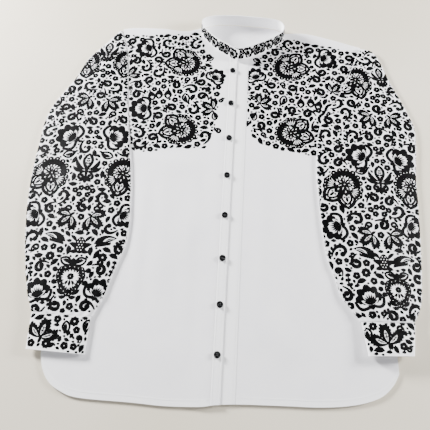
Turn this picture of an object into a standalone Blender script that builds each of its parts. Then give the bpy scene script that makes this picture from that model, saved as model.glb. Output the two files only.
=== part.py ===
"""A stand-collar shirt with full cuffed sleeves, laid flat on its back and buttoned.

The sleeves are turned down over the sides of the body. Tables are in millimetres, in the
layout of the garment on the table: X to the viewer's right, Y up the front edge from the
lowest button, Z off the table. Right and left are the wearer's, so "right" lies at -X.
Every piece that a maker would cut is a wall of its own, a seam's gap from its neighbours.
"""

import math

import bmesh
import bpy
import numpy as np
from mathutils import Vector
from mathutils.geometry import delaunay_2d_cdt

MM = 0.001

# Layout point that becomes the model's origin
CENTRE_X, CENTRE_Y = -2.1, 303.0

# Cloth and seams
CLOTH = 1.2
DOUBLE = 1.6
GAP = 0.3
MERGE = 0.0001

# Heights of the layers where they lie on each other
FRONT_Z = CLOTH + GAP
ON_FRONT_Z = FRONT_Z + CLOTH + GAP
ON_UNDERLAP_Z = FRONT_Z + DOUBLE + GAP
ON_OVERLAP_Z = ON_UNDERLAP_Z + DOUBLE + GAP

# Front opening
OVERLAP_LEFT, OVERLAP_RIGHT = -7.0, 8.0
UNDERLAP_LEFT, UNDERLAP_RIGHT = -8.0, 32.0
RAMP_START, RAMP_END = -48.0, -12.0
BUTTON_PITCH = 80.0
BUTTON_COUNT = 8
BUTTON_RADIUS = 5.7
BUTTON_THICK = 2.6
BUTTON_RIM = 0.5
BUTTON_DISH = 0.7
BUTTON_HOLE_RADIUS = 0.8
BUTTON_HOLE_OUT = 1.5
BUTTON_SIDES = 16
BUTTON_HOLES = 4
BUTTON_HOLE_SIDES = 6
BUTTON_DISH_SHARE, BUTTON_RIM_SHARE = 0.62, 0.78

# Collar band
COLLAR_HEIGHT = 26.0
NECK_EDGE_IN = 1.8
COLLAR_STATIONS = 46
COLLAR_ROWS = 3

# Shoulder turn of the back, which ends in the forward shoulder seam
TURN_RADIUS = 0.75
STRIP_COLUMNS = 8
STRIP_END = 2.0
SHOULDER_POINTS = 9
TURN_ROWS = (0.0, 0.33, 0.67, 1.0)

# Flat panels: spacing of points, how far inner ones keep from an edge as a share of it, and how
# far the points of an outline keep from its corners
EDGE_STEP = 24.0
FINE_STEP = 12.0
FIELD_STEP = 34.0
BACK_STEP = 60.0
EDGE_CLEAR = 0.42
CORNER_CLEAR = 4.0
BACK_INSET = 1.5
CURVE_STEPS = 24
BAND_COLUMNS, BAND_ROWS = 4, 13

# Sleeves
UNDERARM_Y = 361.0
UNDERARM_CLEAR = 10.0
ARMHOLE_GAP = 0.7
CUFF_AIR_START = 0.84
CUFF_LIFT = (0.86, 0.97)
SLEEVE_SECTIONS = 25
SLEEVE_UPPER = 24
SLEEVE_LOWER = 7
SLEEVE_TURN = 3
SLEEVE_AIR = 3.4
SLEEVE_EDGE_AIR = 0.7
SLEEVE_END = 2.0
EDGE_SHARE = 0.08
AIR_SPREAD = 0.6
FULL_WIDTH = 90.0
RIDE_CLEAR, RIDE_RAMP = 14.0, 64.0
GATHERS = 7
GATHER_RISE = 1.3
GATHER_SHARE = 0.16

# Cuffs
CUFF_SIDES = 26
CUFF_SECTIONS = 4
CUFF_SQUARE_ACROSS, CUFF_SQUARE_UP = 0.62, 0.8

# Shirt-tail hem, from the right side to the left side
HEM = (
    (-284, -14), (-277, -36), (-264, -55), (-243, -68), (-212, -76), (-131, -78),
    (-77, -80), (-24, -78), (1, -74), (37, -71), (107, -69), (160, -68), (203, -64),
    (236, -57), (262, -46), (280, -29), (290, -12),
)

# Side seam and armhole of each side, upwards: x, y
RIGHT_SIDE = (
    (-284, -14), (-283, 80), (-277, 200), (-266, 290), (-240, 322), (-205, 338),
    (-189, 361), (-197, 421), (-206, 479), (-214, 540), (-221, 585), (-229, 618), (-240, 651),
)
LEFT_SIDE = (
    (290, -12), (288, 80), (280, 200), (268, 290), (238, 322), (196, 340),
    (177, 372), (181, 427), (196, 467), (225, 512), (242, 550), (260, 597), (267, 618),
)

# Shoulders: x, y of the turned top edge, y of the forward seam
SHOULDER_RIGHT = (
    (-240, 659, 652), (-212, 664, 645), (-152, 665, 652), (-107, 661, 654), (-73, 671, 662),
)
SHOULDER_LEFT = (
    (106, 667, 656), (150, 669, 649), (200, 658, 639), (250, 643, 627), (267, 638, 619),
)

# Neck seam, from the overlap's end round the back to the underlap's end:
# x, y, lean of the band from upright in degrees
NECK = (
    (8, 584, 14), (-3, 591, 14), (-16, 600, 13), (-30, 610, 12), (-46, 624, 10), (-62, 642, 6),
    (-71, 660, 3), (-66, 674, 0), (-45, 683, 0), (-9, 686, 0), (32, 685, 0), (72, 682, 0),
    (94, 676, 0), (105, 661, 4), (102, 645, 8), (88, 630, 13), (62, 612, 17), (36, 598, 19),
    (19, 591, 19), (7, 589.5, 16), (-3, 595, 14),
)
NECK_RISE_START, NECK_RISE_END = -48.0, -9.0
NECK_DROP_START, NECK_DROP_END = 9.0, 44.0
BACK_NECK_START, BACK_NECK_END = 668.0, 680.0
FRONT_NECK_TOP = 662.0
NECK_TUCK = 5

# Sleeve sections from shoulder to cuff: inner edge x, y, then outer edge x, y
RIGHT_SLEEVE = (
    (-240.5, 652, -248, 652), (-232, 628, -268, 622), (-226, 604, -286, 598),
    (-219.5, 573, -304, 571), (-214, 538, -320, 526), (-209, 500, -338, 490),
    (-203, 460, -355, 455), (-196, 415, -364, 415), (-190, 375, -365, 372),
    (-182, 331, -366, 330), (-175, 285, -365, 285), (-171, 240, -361, 240),
    (-169, 204, -356, 206), (-172, 169, -350, 170), (-180, 142, -343, 140),
    (-187, 116, -336, 112), (-195, 84, -326, 82), (-203, 64, -318, 63), (-210, 48.5, -311, 48.5),
)
LEFT_SLEEVE = (
    (260, 617, 267, 632), (253, 601, 290, 626), (244, 577, 304, 606),
    (234, 551, 313, 580), (222, 524, 324, 547), (205, 494, 338, 514),
    (187, 466, 352, 476), (176, 435, 361, 445), (170, 400, 361, 408),
    (168, 365, 357, 370), (167, 330, 353, 332), (169, 290, 352, 292),
    (172, 250, 350, 250), (176, 208, 348, 208), (182, 168, 345, 168),
    (193, 137, 342, 134), (202, 106, 338, 106), (217, 86, 330, 84), (232, 66, 321, 69),
)

# Soft folds, as x, y at each end, half-width and height, and how far each starts up its rise
FOLD_ENDS = 0.15
BODY_FOLDS = (
    (-150, 300, -45, 170, 34, 1.6), (-120, 120, -35, 250, 30, 1.0), (80, 290, 150, 150, 36, 1.2),
    (60, 60, 130, 10, 30, 0.9), (-130, 30, -60, -30, 32, 0.9), (-150, 340, -60, 330, 26, 1.1),
)
# Where the folds of the fronts die away: beside the sleeves, above, and at the opening
FADE_RIGHT, FADE_LEFT, FADE_TOP = (-185, -150), (135, 165), (340, 420)
OPENING_RIGHT, OPENING_LEFT = (-40, -10), (34, 60)
RIGHT_SLEEVE_FOLDS = (
    (-236, 620, -290, 470, 13, 2.6), (-228, 560, -262, 430, 11, 2.0), (-330, 440, -345, 330, 12, 1.8),
    (-300, 300, -270, 190, 14, 1.6), (-205, 330, -200, 200, 12, 2.0), (-330, 200, -300, 100, 11, 1.8),
    (-225, 150, -240, 70, 10, 1.8),
)
LEFT_SLEEVE_FOLDS = (
    (266, 612, 250, 500, 13, 3.4), (282, 606, 300, 470, 13, 3.0), (240, 560, 200, 450, 10, 2.2),
    (330, 430, 338, 300, 12, 1.8), (210, 330, 216, 210, 13, 2.2), (290, 260, 310, 150, 13, 1.8),
    (230, 150, 262, 76, 11, 2.2),
)

# Cuffs: the seam's and the mouth's ends (x, y, x, y), height of the tube at the seam and at the
# mouth, and how much more air the sleeve holds where it is sewn on
RIGHT_CUFF = {
    "seam": (-211, 48, -311, 48), "mouth": (-212, -12, -308, -9), "height": (6.6, 6.9), "air": 0.0,
}
LEFT_CUFF = {
    "seam": (233, 65, 321, 68), "mouth": (241, 12, 314, 16), "height": (10.0, 14.0), "air": 4.0,
}

CLOTH_LOOK = ((0.86, 0.86, 0.88, 1), 0.85)
BUTTON_LOOK = ((0.01, 0.01, 0.012, 1), 0.25)


def clear_scene():
    for item in list(bpy.data.objects):
        bpy.data.objects.remove(item)


def material(name, look):
    colour, roughness = look
    made = bpy.data.materials.new(name)
    made.use_nodes = True
    shader = made.node_tree.nodes["Principled BSDF"]
    shader.inputs["Base Color"].default_value = colour
    shader.inputs["Roughness"].default_value = roughness
    shader.inputs["Metallic"].default_value = 0.0
    made.diffuse_color = colour
    return made


def ease(low, high, value):
    """0 below low, 1 above high, and a smooth step between."""
    t = np.clip((value - low) / (high - low), 0, 1)
    return float(t * t * (3 - 2 * t))


def through(rows, count):
    """count points, evenly spaced, on the smooth curve through a table's rows."""
    rows = np.array(rows, float)
    ends = np.vstack([2 * rows[0] - rows[1], rows, 2 * rows[-1] - rows[-2]])
    fine = []
    for a, b, c, d in zip(ends, ends[1:], ends[2:], ends[3:]):
        for t in np.linspace(0, 1, CURVE_STEPS, endpoint=False):
            bend, twist = 2 * a - 5 * b + 4 * c - d, 3 * b - a - 3 * c + d
            fine.append(0.5 * (2 * b + (c - a) * t + bend * t**2 + twist * t**3))
    fine.append(rows[-1])
    fine = np.array(fine)
    steps = np.hypot(*np.diff(fine[:, :2], axis=0).T)
    walked = np.concatenate([[0], np.cumsum(steps)])
    wanted = np.linspace(0, walked[-1], count)
    return np.column_stack([np.interp(wanted, walked, column) for column in fine.T])


def curve_length(rows):
    return float(np.hypot(*np.diff(np.array(rows, float)[:, :2], axis=0).T).sum())


def edge(rows, step=EDGE_STEP):
    """The curve through a table's rows as plan points about a step apart."""
    count = max(3, round(curve_length(rows) / step) + 1)
    return [tuple(p[:2]) for p in through(rows, count)]


def depth_inside(outline, x, y):
    """Distance from a plan point to an outline, positive inside it."""
    a = np.array(outline, float)
    b = np.roll(a, -1, axis=0)
    p = np.array([x, y])
    along = np.clip(((p - a) * (b - a)).sum(1) / ((b - a) ** 2).sum(1), 0, 1)
    distance = np.hypot(*(a + along[:, None] * (b - a) - p).T).min()
    crosses = (a[:, 1] > y) != (b[:, 1] > y)
    rise = np.where(crosses, b[:, 1] - a[:, 1], 1)
    hits = crosses & (x < a[:, 0] + (y - a[:, 1]) * (b[:, 0] - a[:, 0]) / rise)
    return float(distance if hits.sum() % 2 else -distance)


def folds_at(folds, x, y):
    """Rise of the cloth at a plan point from a table of soft folds."""
    rise = 0.0
    for x0, y0, x1, y1, half_width, height in folds:
        run = np.array([x1 - x0, y1 - y0], float)
        share = np.clip(((x - x0) * run[0] + (y - y0) * run[1]) / (run @ run), 0, 1)
        away = math.hypot(x - x0 - share * run[0], y - y0 - share * run[1])
        along = math.sin(math.pi * (FOLD_ENDS + (1 - 2 * FOLD_ENDS) * share))
        rise += height * along * math.exp(-((away / half_width) ** 2))
    return rise


def cloth_object(name, mesh, home, looks, thickness, offset):
    """A thin surface as a cloth wall, placed under the layout's empty."""
    made = bpy.data.objects.new(name, mesh)
    made.data.materials.append(looks)
    made.parent = home["empty"]
    home["collection"].objects.link(made)
    if thickness:
        wall = made.modifiers.new("wall", "SOLIDIFY")
        wall.thickness = thickness * MM
        wall.offset = offset
        wall.use_even_offset = False
    return made


def lofted(name, rows, home, looks, thickness, offset, closed=False):
    """A wall on the surface through rows of points, each row a section. Closed rows are rings."""
    bm = bmesh.new()
    lines = [[bm.verts.new(Vector(p) * MM) for p in row] for row in rows]
    for upper, lower in zip(lines, lines[1:]):
        pairs = list(range(len(upper) - 1)) + ([-1] if closed else [])
        for k in pairs:
            bm.faces.new((upper[k], upper[k + 1], lower[k + 1], lower[k]))
    mesh = bpy.data.meshes.new(name)
    bm.to_mesh(mesh)
    bm.free()
    mesh.shade_smooth()
    return cloth_object(name, mesh, home, looks, thickness, offset)


def cut_panel(name, outline, height, home, looks, thickness, step, lines=(), extra=()):
    """A panel cut to a plan outline. height gives the point of its lower face over a plan point."""
    points = [Vector(p) for p in outline]
    border = list(range(len(points)))
    low_x, low_y = np.min(outline, axis=0)
    high_x, high_y = np.max(outline, axis=0)
    clear = step * EDGE_CLEAR
    field_top = min([high_y] + [y - clear for _, y in extra])
    for row, y in enumerate(np.arange(low_y + step / 2, field_top, step * math.sin(math.pi / 3))):
        for x in np.arange(low_x + step / 2 * (row % 2 + 0.5), high_x, step):
            near_line = any(abs(x - line) < step / 2 for line in lines)
            if depth_inside(outline, x, y) > clear and not near_line:
                points.append(Vector((x, y)))
    for line in lines:
        for y in np.arange(low_y, high_y, step):
            if depth_inside(outline, line, y) > CORNER_CLEAR:
                points.append(Vector((line, y)))
    points += [Vector(p) for p in extra]
    flat, _, faces, _, _, _ = delaunay_2d_cdt(points, [], [border], 1, 1e-4)
    bm = bmesh.new()
    corners = [bm.verts.new(Vector(height(*p)) * MM) for p in flat]
    for face in faces:
        bm.faces.new([corners[k] for k in face])
    for loose in [v for v in bm.verts if not v.link_faces]:
        bm.verts.remove(loose)
    mesh = bpy.data.meshes.new(name)
    bm.to_mesh(mesh)
    bm.free()
    return cloth_object(name, mesh, home, looks, thickness, 1.0)


def neck_ring(inwards=0.0):
    """Stations round the neck seam, moved towards the middle of the neck in plan."""
    rows = through(NECK, COLLAR_STATIONS)
    run = np.gradient(rows[:, :2], axis=0)
    run /= np.hypot(*run.T)[:, None]
    inward = np.column_stack([run[:, 1], -run[:, 0]])
    rows[:, :2] += inward * inwards
    return rows, inward


def neck_between(x_low, x_high, front):
    """Plan points of the neck edge between two x values, on the front or the back of the ring."""
    rows, _ = neck_ring(NECK_EDGE_IN)
    seen = [p for p in rows[:-NECK_TUCK] if (p[1] < FRONT_NECK_TOP) == front]
    return sorted(tuple(p[:2]) for p in seen if x_low < p[0] < x_high)


def neck_floor(x, y):
    """Height that the collar band stands at over a plan point of the neck seam."""
    centre = ease(NECK_RISE_START, NECK_RISE_END, x) * (1 - ease(NECK_DROP_START, NECK_DROP_END, x))
    front = ON_FRONT_Z + (ON_OVERLAP_Z - ON_FRONT_Z) * centre
    return front + (FRONT_Z - front) * ease(BACK_NECK_START, BACK_NECK_END, y)


def neck_height(x):
    """y of the front neck edge at an x value."""
    row = neck_between(SHOULDER_RIGHT[-1][0], SHOULDER_LEFT[0][0], True)
    return float(np.interp(x, [p[0] for p in row], [p[1] for p in row]))


def hem_height(x):
    return float(np.interp(x, [p[0] for p in HEM], [p[1] for p in HEM]))


def hem_between(x_low, x_high):
    return [p for p in edge(HEM) if x_low <= p[0] <= x_high]


def shoulder_columns(table):
    """x values across one shoulder, from the sleeve's end to the neck's."""
    outer, inner = sorted((table[0][0], table[-1][0]), key=abs)[::-1]
    inwards = math.copysign(STRIP_END, inner - outer)
    return [float(x) for x in np.linspace(outer + inwards, inner - inwards, STRIP_COLUMNS)]


def seam_line(table):
    """Plan points of a shoulder's forward seam, from right to left."""
    return sorted((x, shoulder_edge(x)[1]) for x in shoulder_columns(table))


def body_under_sleeve(side, top):
    """Outline of the part of the body that carries a sleeve, up to a height."""
    line = [p for p in edge(side, FINE_STEP) if p[1] <= top]
    return line + [(0, line[-1][1]), (0, line[0][1])]


def centre_edge(x):
    """Plan points down a straight front edge, from the neck to the hem."""
    top, bottom = neck_height(x), hem_height(x)
    return [(x, y) for y in np.linspace(top, bottom, round((top - bottom) / EDGE_STEP) + 1)]


def right_front_outline():
    right = RIGHT_SIDE[0][0]
    seam = seam_line(SHOULDER_RIGHT)
    centre = OVERLAP_LEFT - GAP
    hem = hem_between(right + CORNER_CLEAR, centre - CORNER_CLEAR)
    neck = neck_between(SHOULDER_RIGHT[-1][0] + CORNER_CLEAR, centre - CORNER_CLEAR, True)
    side = edge(RIGHT_SIDE)
    return side[::-1] + hem + centre_edge(centre)[::-1] + neck[::-1] + seam[::-1]


def left_front_outline():
    left = LEFT_SIDE[0][0]
    seam = seam_line(SHOULDER_LEFT)
    centre = UNDERLAP_RIGHT + GAP
    hem = hem_between(centre + CORNER_CLEAR, left - CORNER_CLEAR)
    neck = neck_between(centre + CORNER_CLEAR, SHOULDER_LEFT[0][0] - CORNER_CLEAR, True)
    side = edge(LEFT_SIDE)
    return centre_edge(centre) + hem + side[:-1] + seam[::-1] + neck[::-1]


def body_lift(x, y):
    """Rise of the fronts in their soft folds, which die away under the sleeves."""
    clear = ease(*FADE_RIGHT, x) * (1 - ease(*FADE_LEFT, x)) * (1 - ease(*FADE_TOP, y))
    opening = ease(*OPENING_RIGHT, x) * (1 - ease(*OPENING_LEFT, x))
    return folds_at(BODY_FOLDS, x, y) * clear * (1 - opening)


def right_front_point(x, y):
    step = ON_UNDERLAP_Z - FRONT_Z
    return (x, y, FRONT_Z + step * ease(RAMP_START, RAMP_END, x) + body_lift(x, y))


def left_front_point(x, y):
    return (x, y, FRONT_Z + body_lift(x, y))


def shoulder_edge(x):
    """y of the turned top edge and of the forward seam at an x value on either shoulder."""
    rows = through(SHOULDER_RIGHT if x < 0 else SHOULDER_LEFT, SHOULDER_POINTS)
    return [float(np.interp(x, rows[:, 0], rows[:, k])) for k in (1, 2)]


def turn_sizes():
    """Outer radius of the shoulder turn, and the length of its skin."""
    radius = TURN_RADIUS + CLOTH / 2
    return radius, math.pi * radius


def shoulder_pattern(table):
    """Columns of pattern points across one shoulder, from the sleeve's end to the neck's: each
    runs up through the turn and on by what lies on the front."""
    radius, turn = turn_sizes()
    columns = []
    for x in shoulder_columns(table):
        fold, seam = shoulder_edge(x)
        start = fold - radius
        heights = [start + turn * share for share in TURN_ROWS]
        heights.append(start + turn + start - seam - GAP)
        columns.append([(x, y) for y in heights])
    return columns


def strip_edge(columns):
    """The edge of one shoulder's strip, up its first column, across its ends and down its last."""
    return columns[0][:-1] + [column[-1] for column in columns] + columns[-1][-2::-1]


def back_outline():
    """The back as cut: its shoulder edges run on past the turn by what lies on the front."""
    right_columns = shoulder_pattern(SHOULDER_RIGHT)[::-1]
    left_columns = shoulder_pattern(SHOULDER_LEFT)
    right_end, left_end = (table[0][0] for table in (RIGHT_SIDE, LEFT_SIDE))
    right_top, left_top = SHOULDER_RIGHT[0][2] - CORNER_CLEAR, SHOULDER_LEFT[-1][2] - CORNER_CLEAR
    right = [(x + BACK_INSET, y) for x, y in edge(RIGHT_SIDE) if y < right_top]
    left = [(x - BACK_INSET, y) for x, y in edge(LEFT_SIDE) if y < left_top]
    hem = hem_between(right_end + CORNER_CLEAR, left_end - CORNER_CLEAR)
    hem = [(x, y + BACK_INSET) for x, y in hem]
    neck = neck_between(
        SHOULDER_RIGHT[-1][0] + CORNER_CLEAR, SHOULDER_LEFT[0][0] - CORNER_CLEAR, False
    )
    return right[::-1] + hem + left + strip_edge(left_columns) + neck[::-1] + strip_edge(right_columns)


def back_point(x, y):
    """Lower face of the back, turned over the shoulders to lie on the front's level."""
    on_shoulder = x < SHOULDER_RIGHT[-1][0] or x > SHOULDER_LEFT[0][0]
    radius, turn = turn_sizes()
    start = shoulder_edge(x)[0] - radius
    past = y - start
    if not on_shoulder or past <= 0:
        return (x, y, 0.0)
    if past < turn:
        angle = past / radius
        return (x, start + radius * math.sin(angle), radius * (1 - math.cos(angle)))
    return (x, start + turn - past, 2 * radius)


def make_back(home, cloth):
    """The back, with rows of points where it turns over the shoulders."""
    columns = shoulder_pattern(SHOULDER_RIGHT)[1:-1] + shoulder_pattern(SHOULDER_LEFT)[1:-1]
    rows = [point for column in columns for point in column[:-1]]
    cut_panel("back", back_outline(), back_point, home, cloth, CLOTH, BACK_STEP, extra=rows)


def make_fronts(home, cloth):
    cut_panel(
        "right_front", right_front_outline(), right_front_point, home, cloth, CLOTH, FIELD_STEP,
        lines=(RAMP_START, (RAMP_START + RAMP_END) / 2, RAMP_END),
    )
    cut_panel("left_front", left_front_outline(), left_front_point, home, cloth, CLOTH, FIELD_STEP)


def make_bands(home, cloth):
    """The doubled edge bands of the opening, one lying on the other."""
    for name, left, right, level in (
        ("overlap_band", OVERLAP_LEFT, OVERLAP_RIGHT, ON_UNDERLAP_Z),
        ("underlap_band", UNDERLAP_LEFT, UNDERLAP_RIGHT, FRONT_Z),
    ):
        columns = np.linspace(left, right, BAND_COLUMNS)
        shares = np.linspace(0, 1, BAND_ROWS)
        rows = [
            [(x, hem_height(x) + (neck_height(x) - hem_height(x)) * share, level) for x in columns]
            for share in shares
        ]
        lofted(name, rows, home, cloth, DOUBLE, 1.0)


def make_collar(home, cloth):
    rows, inward = neck_ring()
    sections = []
    for (x, y, lean), (in_x, in_y) in zip(rows, inward):
        tilt = math.radians(lean)
        z = neck_floor(x, y) + DOUBLE * math.sin(tilt)
        section = []
        for rise in np.linspace(0, COLLAR_HEIGHT, COLLAR_ROWS + 1):
            along = rise * math.sin(tilt)
            section.append((x + in_x * along, y + in_y * along, z + rise * math.cos(tilt)))
        sections.append(section)
    lofted("collar_band", sections, home, cloth, DOUBLE, -1.0)


def sleeve_section(row, share, carried, folds, cuff_air):
    """One section of a sleeve: along the lower layer, round the outer fold and back on top."""
    inner, outer = np.array(row[:2]), np.array(row[2:4])
    width = float(np.hypot(*(outer - inner)))
    at_cuff = ease(*CUFF_LIFT, share)
    gathers = ease(1 - GATHER_SHARE, 1.0, share)

    def floor_at(point):
        lift = ease(-RIDE_RAMP, -RIDE_CLEAR, depth_inside(carried, *point))
        return ON_FRONT_Z * max(lift, at_cuff)

    def air_at(u):
        full = min(1.0, width / FULL_WIDTH)
        spread = max(0.0, math.sin(math.pi * u)) ** AIR_SPREAD
        air = SLEEVE_AIR - SLEEVE_EDGE_AIR + cuff_air * ease(CUFF_AIR_START, 1.0, share)
        return SLEEVE_EDGE_AIR * ease(0, EDGE_SHARE, u) + GAP + air * full * spread

    section = []
    last = 1 - SLEEVE_END / width
    for u in np.linspace(0, 1, SLEEVE_LOWER):
        point = inner + (outer - inner) * min(u, last)
        section.append((*point, floor_at(point)))
    end = inner + (outer - inner) * last
    base, thick = floor_at(end), 2 * CLOTH + SLEEVE_EDGE_AIR + GAP
    out = (outer - inner) / width
    for angle in np.linspace(-math.pi / 2, math.pi / 2, SLEEVE_TURN + 2)[1:-1]:
        point = end + out * SLEEVE_END * math.cos(angle)
        section.append((*point, base + thick / 2 * (1 + math.sin(angle))))
    for u in np.linspace(last, 0, SLEEVE_UPPER):
        point = inner + (outer - inner) * u
        wave = math.sin(math.pi * GATHERS * u) ** 2
        rise = GATHER_RISE * wave * gathers + folds_at(folds, *point) * math.sqrt(math.sin(math.pi * u))
        section.append((*point, floor_at(point) + 2 * CLOTH + air_at(u) + rise))
    return section


def meet_armhole(rows):
    """Keeps a sleeve's inner edge a seam's gap outside the front's armhole, down to the underarm."""
    line = sorted((y, x) for x, y in edge(RIGHT_SIDE) if y >= UNDERARM_Y)
    for row in rows:
        if row[1] > UNDERARM_Y + UNDERARM_CLEAR:
            row[0] = np.interp(row[1], *zip(*line)) - ARMHOLE_GAP
    return rows


def make_sleeve(name, table, carried, folds, cuff_air, home, cloth):
    rows = through(table, SLEEVE_SECTIONS)
    if table is RIGHT_SLEEVE:
        rows = meet_armhole(rows)
    shares = np.linspace(0, 1, SLEEVE_SECTIONS)
    sections = [
        sleeve_section(row, share, carried, folds, cuff_air) for row, share in zip(rows, shares)
    ]
    mirrored = table[0][0] > 0
    lofted(name, sections, home, cloth, CLOTH, -1.0 if mirrored else 1.0)


def make_cuff(name, sizes, home, cloth):
    """A flattened tube from the sleeve's end to the mouth, flat where it rests."""
    sections = []
    seam, mouth = np.array(sizes["seam"], float), np.array(sizes["mouth"], float)
    for share in np.linspace(0, 1, CUFF_SECTIONS):
        ends = seam + (mouth - seam) * share
        inner, outer = ends[:2], ends[2:]
        height = sizes["height"][0] + (sizes["height"][1] - sizes["height"][0]) * share
        middle, half = (inner + outer) / 2, (outer - inner) / 2
        ring = []
        for k in range(CUFF_SIDES):
            angle = 2 * math.pi * k / CUFF_SIDES
            across = math.copysign(abs(math.cos(angle)) ** CUFF_SQUARE_ACROSS, math.cos(angle))
            up = math.copysign(abs(math.sin(angle)) ** CUFF_SQUARE_UP, math.sin(angle))
            point = middle + half * across
            ring.append((*point, ON_FRONT_Z + height / 2 * (1 + up)))
        sections.append(ring)
    mirrored = seam[0] > 0
    lofted(name, sections, home, cloth, DOUBLE, -1.0 if mirrored else 1.0, closed=True)


def button_profile():
    """Half section of a button, down its outer side: a raised rim round a shallow dish."""
    r, t = BUTTON_RADIUS, BUTTON_THICK
    return (
        (0, t - BUTTON_DISH), (r * BUTTON_DISH_SHARE, t - BUTTON_DISH), (r * BUTTON_RIM_SHARE, t),
        (r - BUTTON_RIM, t), (r, t - BUTTON_RIM), (r - BUTTON_RIM, 0), (0, 0),
    )


def button_mesh(home):
    """A turned button with four holes."""
    profile = bpy.data.meshes.new("button_profile")
    rim = button_profile()
    corners = [(x * MM, 0, z * MM) for x, z in rim]
    profile.from_pydata(corners, [(k, k + 1) for k in range(len(rim) - 1)], [])
    turned = bpy.data.objects.new("button_turned", profile)
    home["guides"].objects.link(turned)
    screw = turned.modifiers.new("turn", "SCREW")
    screw.steps = BUTTON_SIDES
    screw.render_steps = BUTTON_SIDES
    screw.use_merge_vertices = True
    screw.merge_threshold = MERGE * 0.1
    drill = bmesh.new()
    for k in range(BUTTON_HOLES):
        angle = 2 * math.pi * (k + 0.5) / BUTTON_HOLES
        made = bmesh.ops.create_cone(
            drill, cap_ends=True, segments=BUTTON_HOLE_SIDES, radius1=BUTTON_HOLE_RADIUS * MM,
            radius2=BUTTON_HOLE_RADIUS * MM, depth=4 * BUTTON_THICK * MM,
        )
        place = Vector((math.cos(angle), math.sin(angle), 0)) * BUTTON_HOLE_OUT * MM
        bmesh.ops.translate(drill, verts=made["verts"], vec=place)
    drill_mesh = bpy.data.meshes.new("button_drill")
    drill.to_mesh(drill_mesh)
    drill.free()
    drills = bpy.data.objects.new("button_drills", drill_mesh)
    home["guides"].objects.link(drills)
    cut = turned.modifiers.new("holes", "BOOLEAN")
    cut.operation = "DIFFERENCE"
    cut.solver = "EXACT"
    cut.object = drills
    for guide in (turned, drills):
        guide.hide_render = True
        guide.display_type = "WIRE"
    bpy.context.view_layer.update()
    graph = bpy.context.evaluated_depsgraph_get()
    return bpy.data.meshes.new_from_object(turned.evaluated_get(graph))


def make_buttons(home, look):
    shape = button_mesh(home)
    shape.materials.clear()
    for number in range(BUTTON_COUNT):
        button = cloth_object(f"button_{number + 1}", shape, home, look, 0, 0)
        button.location = Vector((0, number * BUTTON_PITCH, ON_OVERLAP_Z)) * MM


def make_shirt():
    clear_scene()
    collection = bpy.data.collections.new("embroidered_shirt")
    guides = bpy.data.collections.new("guides")
    bpy.context.scene.collection.children.link(collection)
    bpy.context.scene.collection.children.link(guides)
    layout = bpy.data.objects.new("layout", None)
    layout.location = Vector((-CENTRE_X, -CENTRE_Y, 0)) * MM
    collection.objects.link(layout)
    home = {"collection": collection, "guides": guides, "empty": layout}
    cloth = material("cotton", CLOTH_LOOK)
    black = material("button", BUTTON_LOOK)

    make_back(home, cloth)
    make_fronts(home, cloth)
    make_bands(home, cloth)
    make_collar(home, cloth)
    make_sleeve(
        "right_sleeve", RIGHT_SLEEVE, body_under_sleeve(RIGHT_SIDE, UNDERARM_Y), RIGHT_SLEEVE_FOLDS,
        RIGHT_CUFF["air"], home, cloth,
    )
    make_sleeve(
        "left_sleeve", LEFT_SLEEVE, body_under_sleeve(LEFT_SIDE, LEFT_SIDE[-1][1]),
        LEFT_SLEEVE_FOLDS, LEFT_CUFF["air"], home, cloth,
    )
    make_cuff("right_cuff", RIGHT_CUFF, home, cloth)
    make_cuff("left_cuff", LEFT_CUFF, home, cloth)
    make_buttons(home, black)


make_shirt()
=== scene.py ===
"""A white stand-collar shirt laid flat and buttoned, its sleeves, chest and collar worked in black.

Tables are in millimetres in the layout of the garment on the table: X to the viewer's right, Y up
the front edge from the lowest button, Z off the table. Right and left are the wearer's, so
"right" lies at -X.
"""

import cmath
import math
import random

import bmesh
import bpy
import numpy as np
from mathutils import Matrix, Vector
from mathutils.geometry import delaunay_2d_cdt


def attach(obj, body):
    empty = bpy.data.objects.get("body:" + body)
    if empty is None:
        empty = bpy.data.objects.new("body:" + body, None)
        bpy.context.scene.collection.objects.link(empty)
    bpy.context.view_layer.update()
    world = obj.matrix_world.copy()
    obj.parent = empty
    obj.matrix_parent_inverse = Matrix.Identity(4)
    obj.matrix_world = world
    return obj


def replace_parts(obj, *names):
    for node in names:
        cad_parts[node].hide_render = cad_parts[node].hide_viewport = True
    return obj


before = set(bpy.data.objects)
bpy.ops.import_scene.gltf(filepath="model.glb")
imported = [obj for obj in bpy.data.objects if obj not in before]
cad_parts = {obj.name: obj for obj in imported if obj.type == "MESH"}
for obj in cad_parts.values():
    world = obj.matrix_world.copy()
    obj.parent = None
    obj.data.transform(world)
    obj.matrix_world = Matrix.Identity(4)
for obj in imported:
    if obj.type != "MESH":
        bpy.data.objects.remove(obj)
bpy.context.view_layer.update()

MM = 0.001
CENTRE = np.array([-2.1, 303.0, 0.0])

# Cloth as built, and the thinner cloth that shows
CLOTH, DOUBLE, GAP = 1.2, 1.6, 0.3
SHELL, DOUBLE_SHELL = 0.7, 1.3
FRONT_Z = CLOTH + GAP
ON_FRONT_Z = FRONT_Z + CLOTH + GAP
ON_UNDERLAP_Z = FRONT_Z + DOUBLE + GAP
ON_OVERLAP_Z = ON_UNDERLAP_Z + DOUBLE + GAP

# Front opening and buttons
OVERLAP_LEFT, OVERLAP_RIGHT = -7.0, 8.0
UNDERLAP_LEFT, UNDERLAP_RIGHT = -8.0, 32.0
RAMP_START, RAMP_END = -48.0, -12.0
BUTTON_PITCH, BUTTON_COUNT = 80.0, 8
BUTTON_RADIUS, BUTTON_THICK = 5.7, 2.6
BUTTON_RIM, BUTTON_SLOPE, BUTTON_DISH, BUTTON_SOFT = 1.3, 0.6, 0.7, 0.22
HOLE_RADIUS, HOLE_PLACE, HOLE_COUNT = 0.75, 1.5, 4

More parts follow.
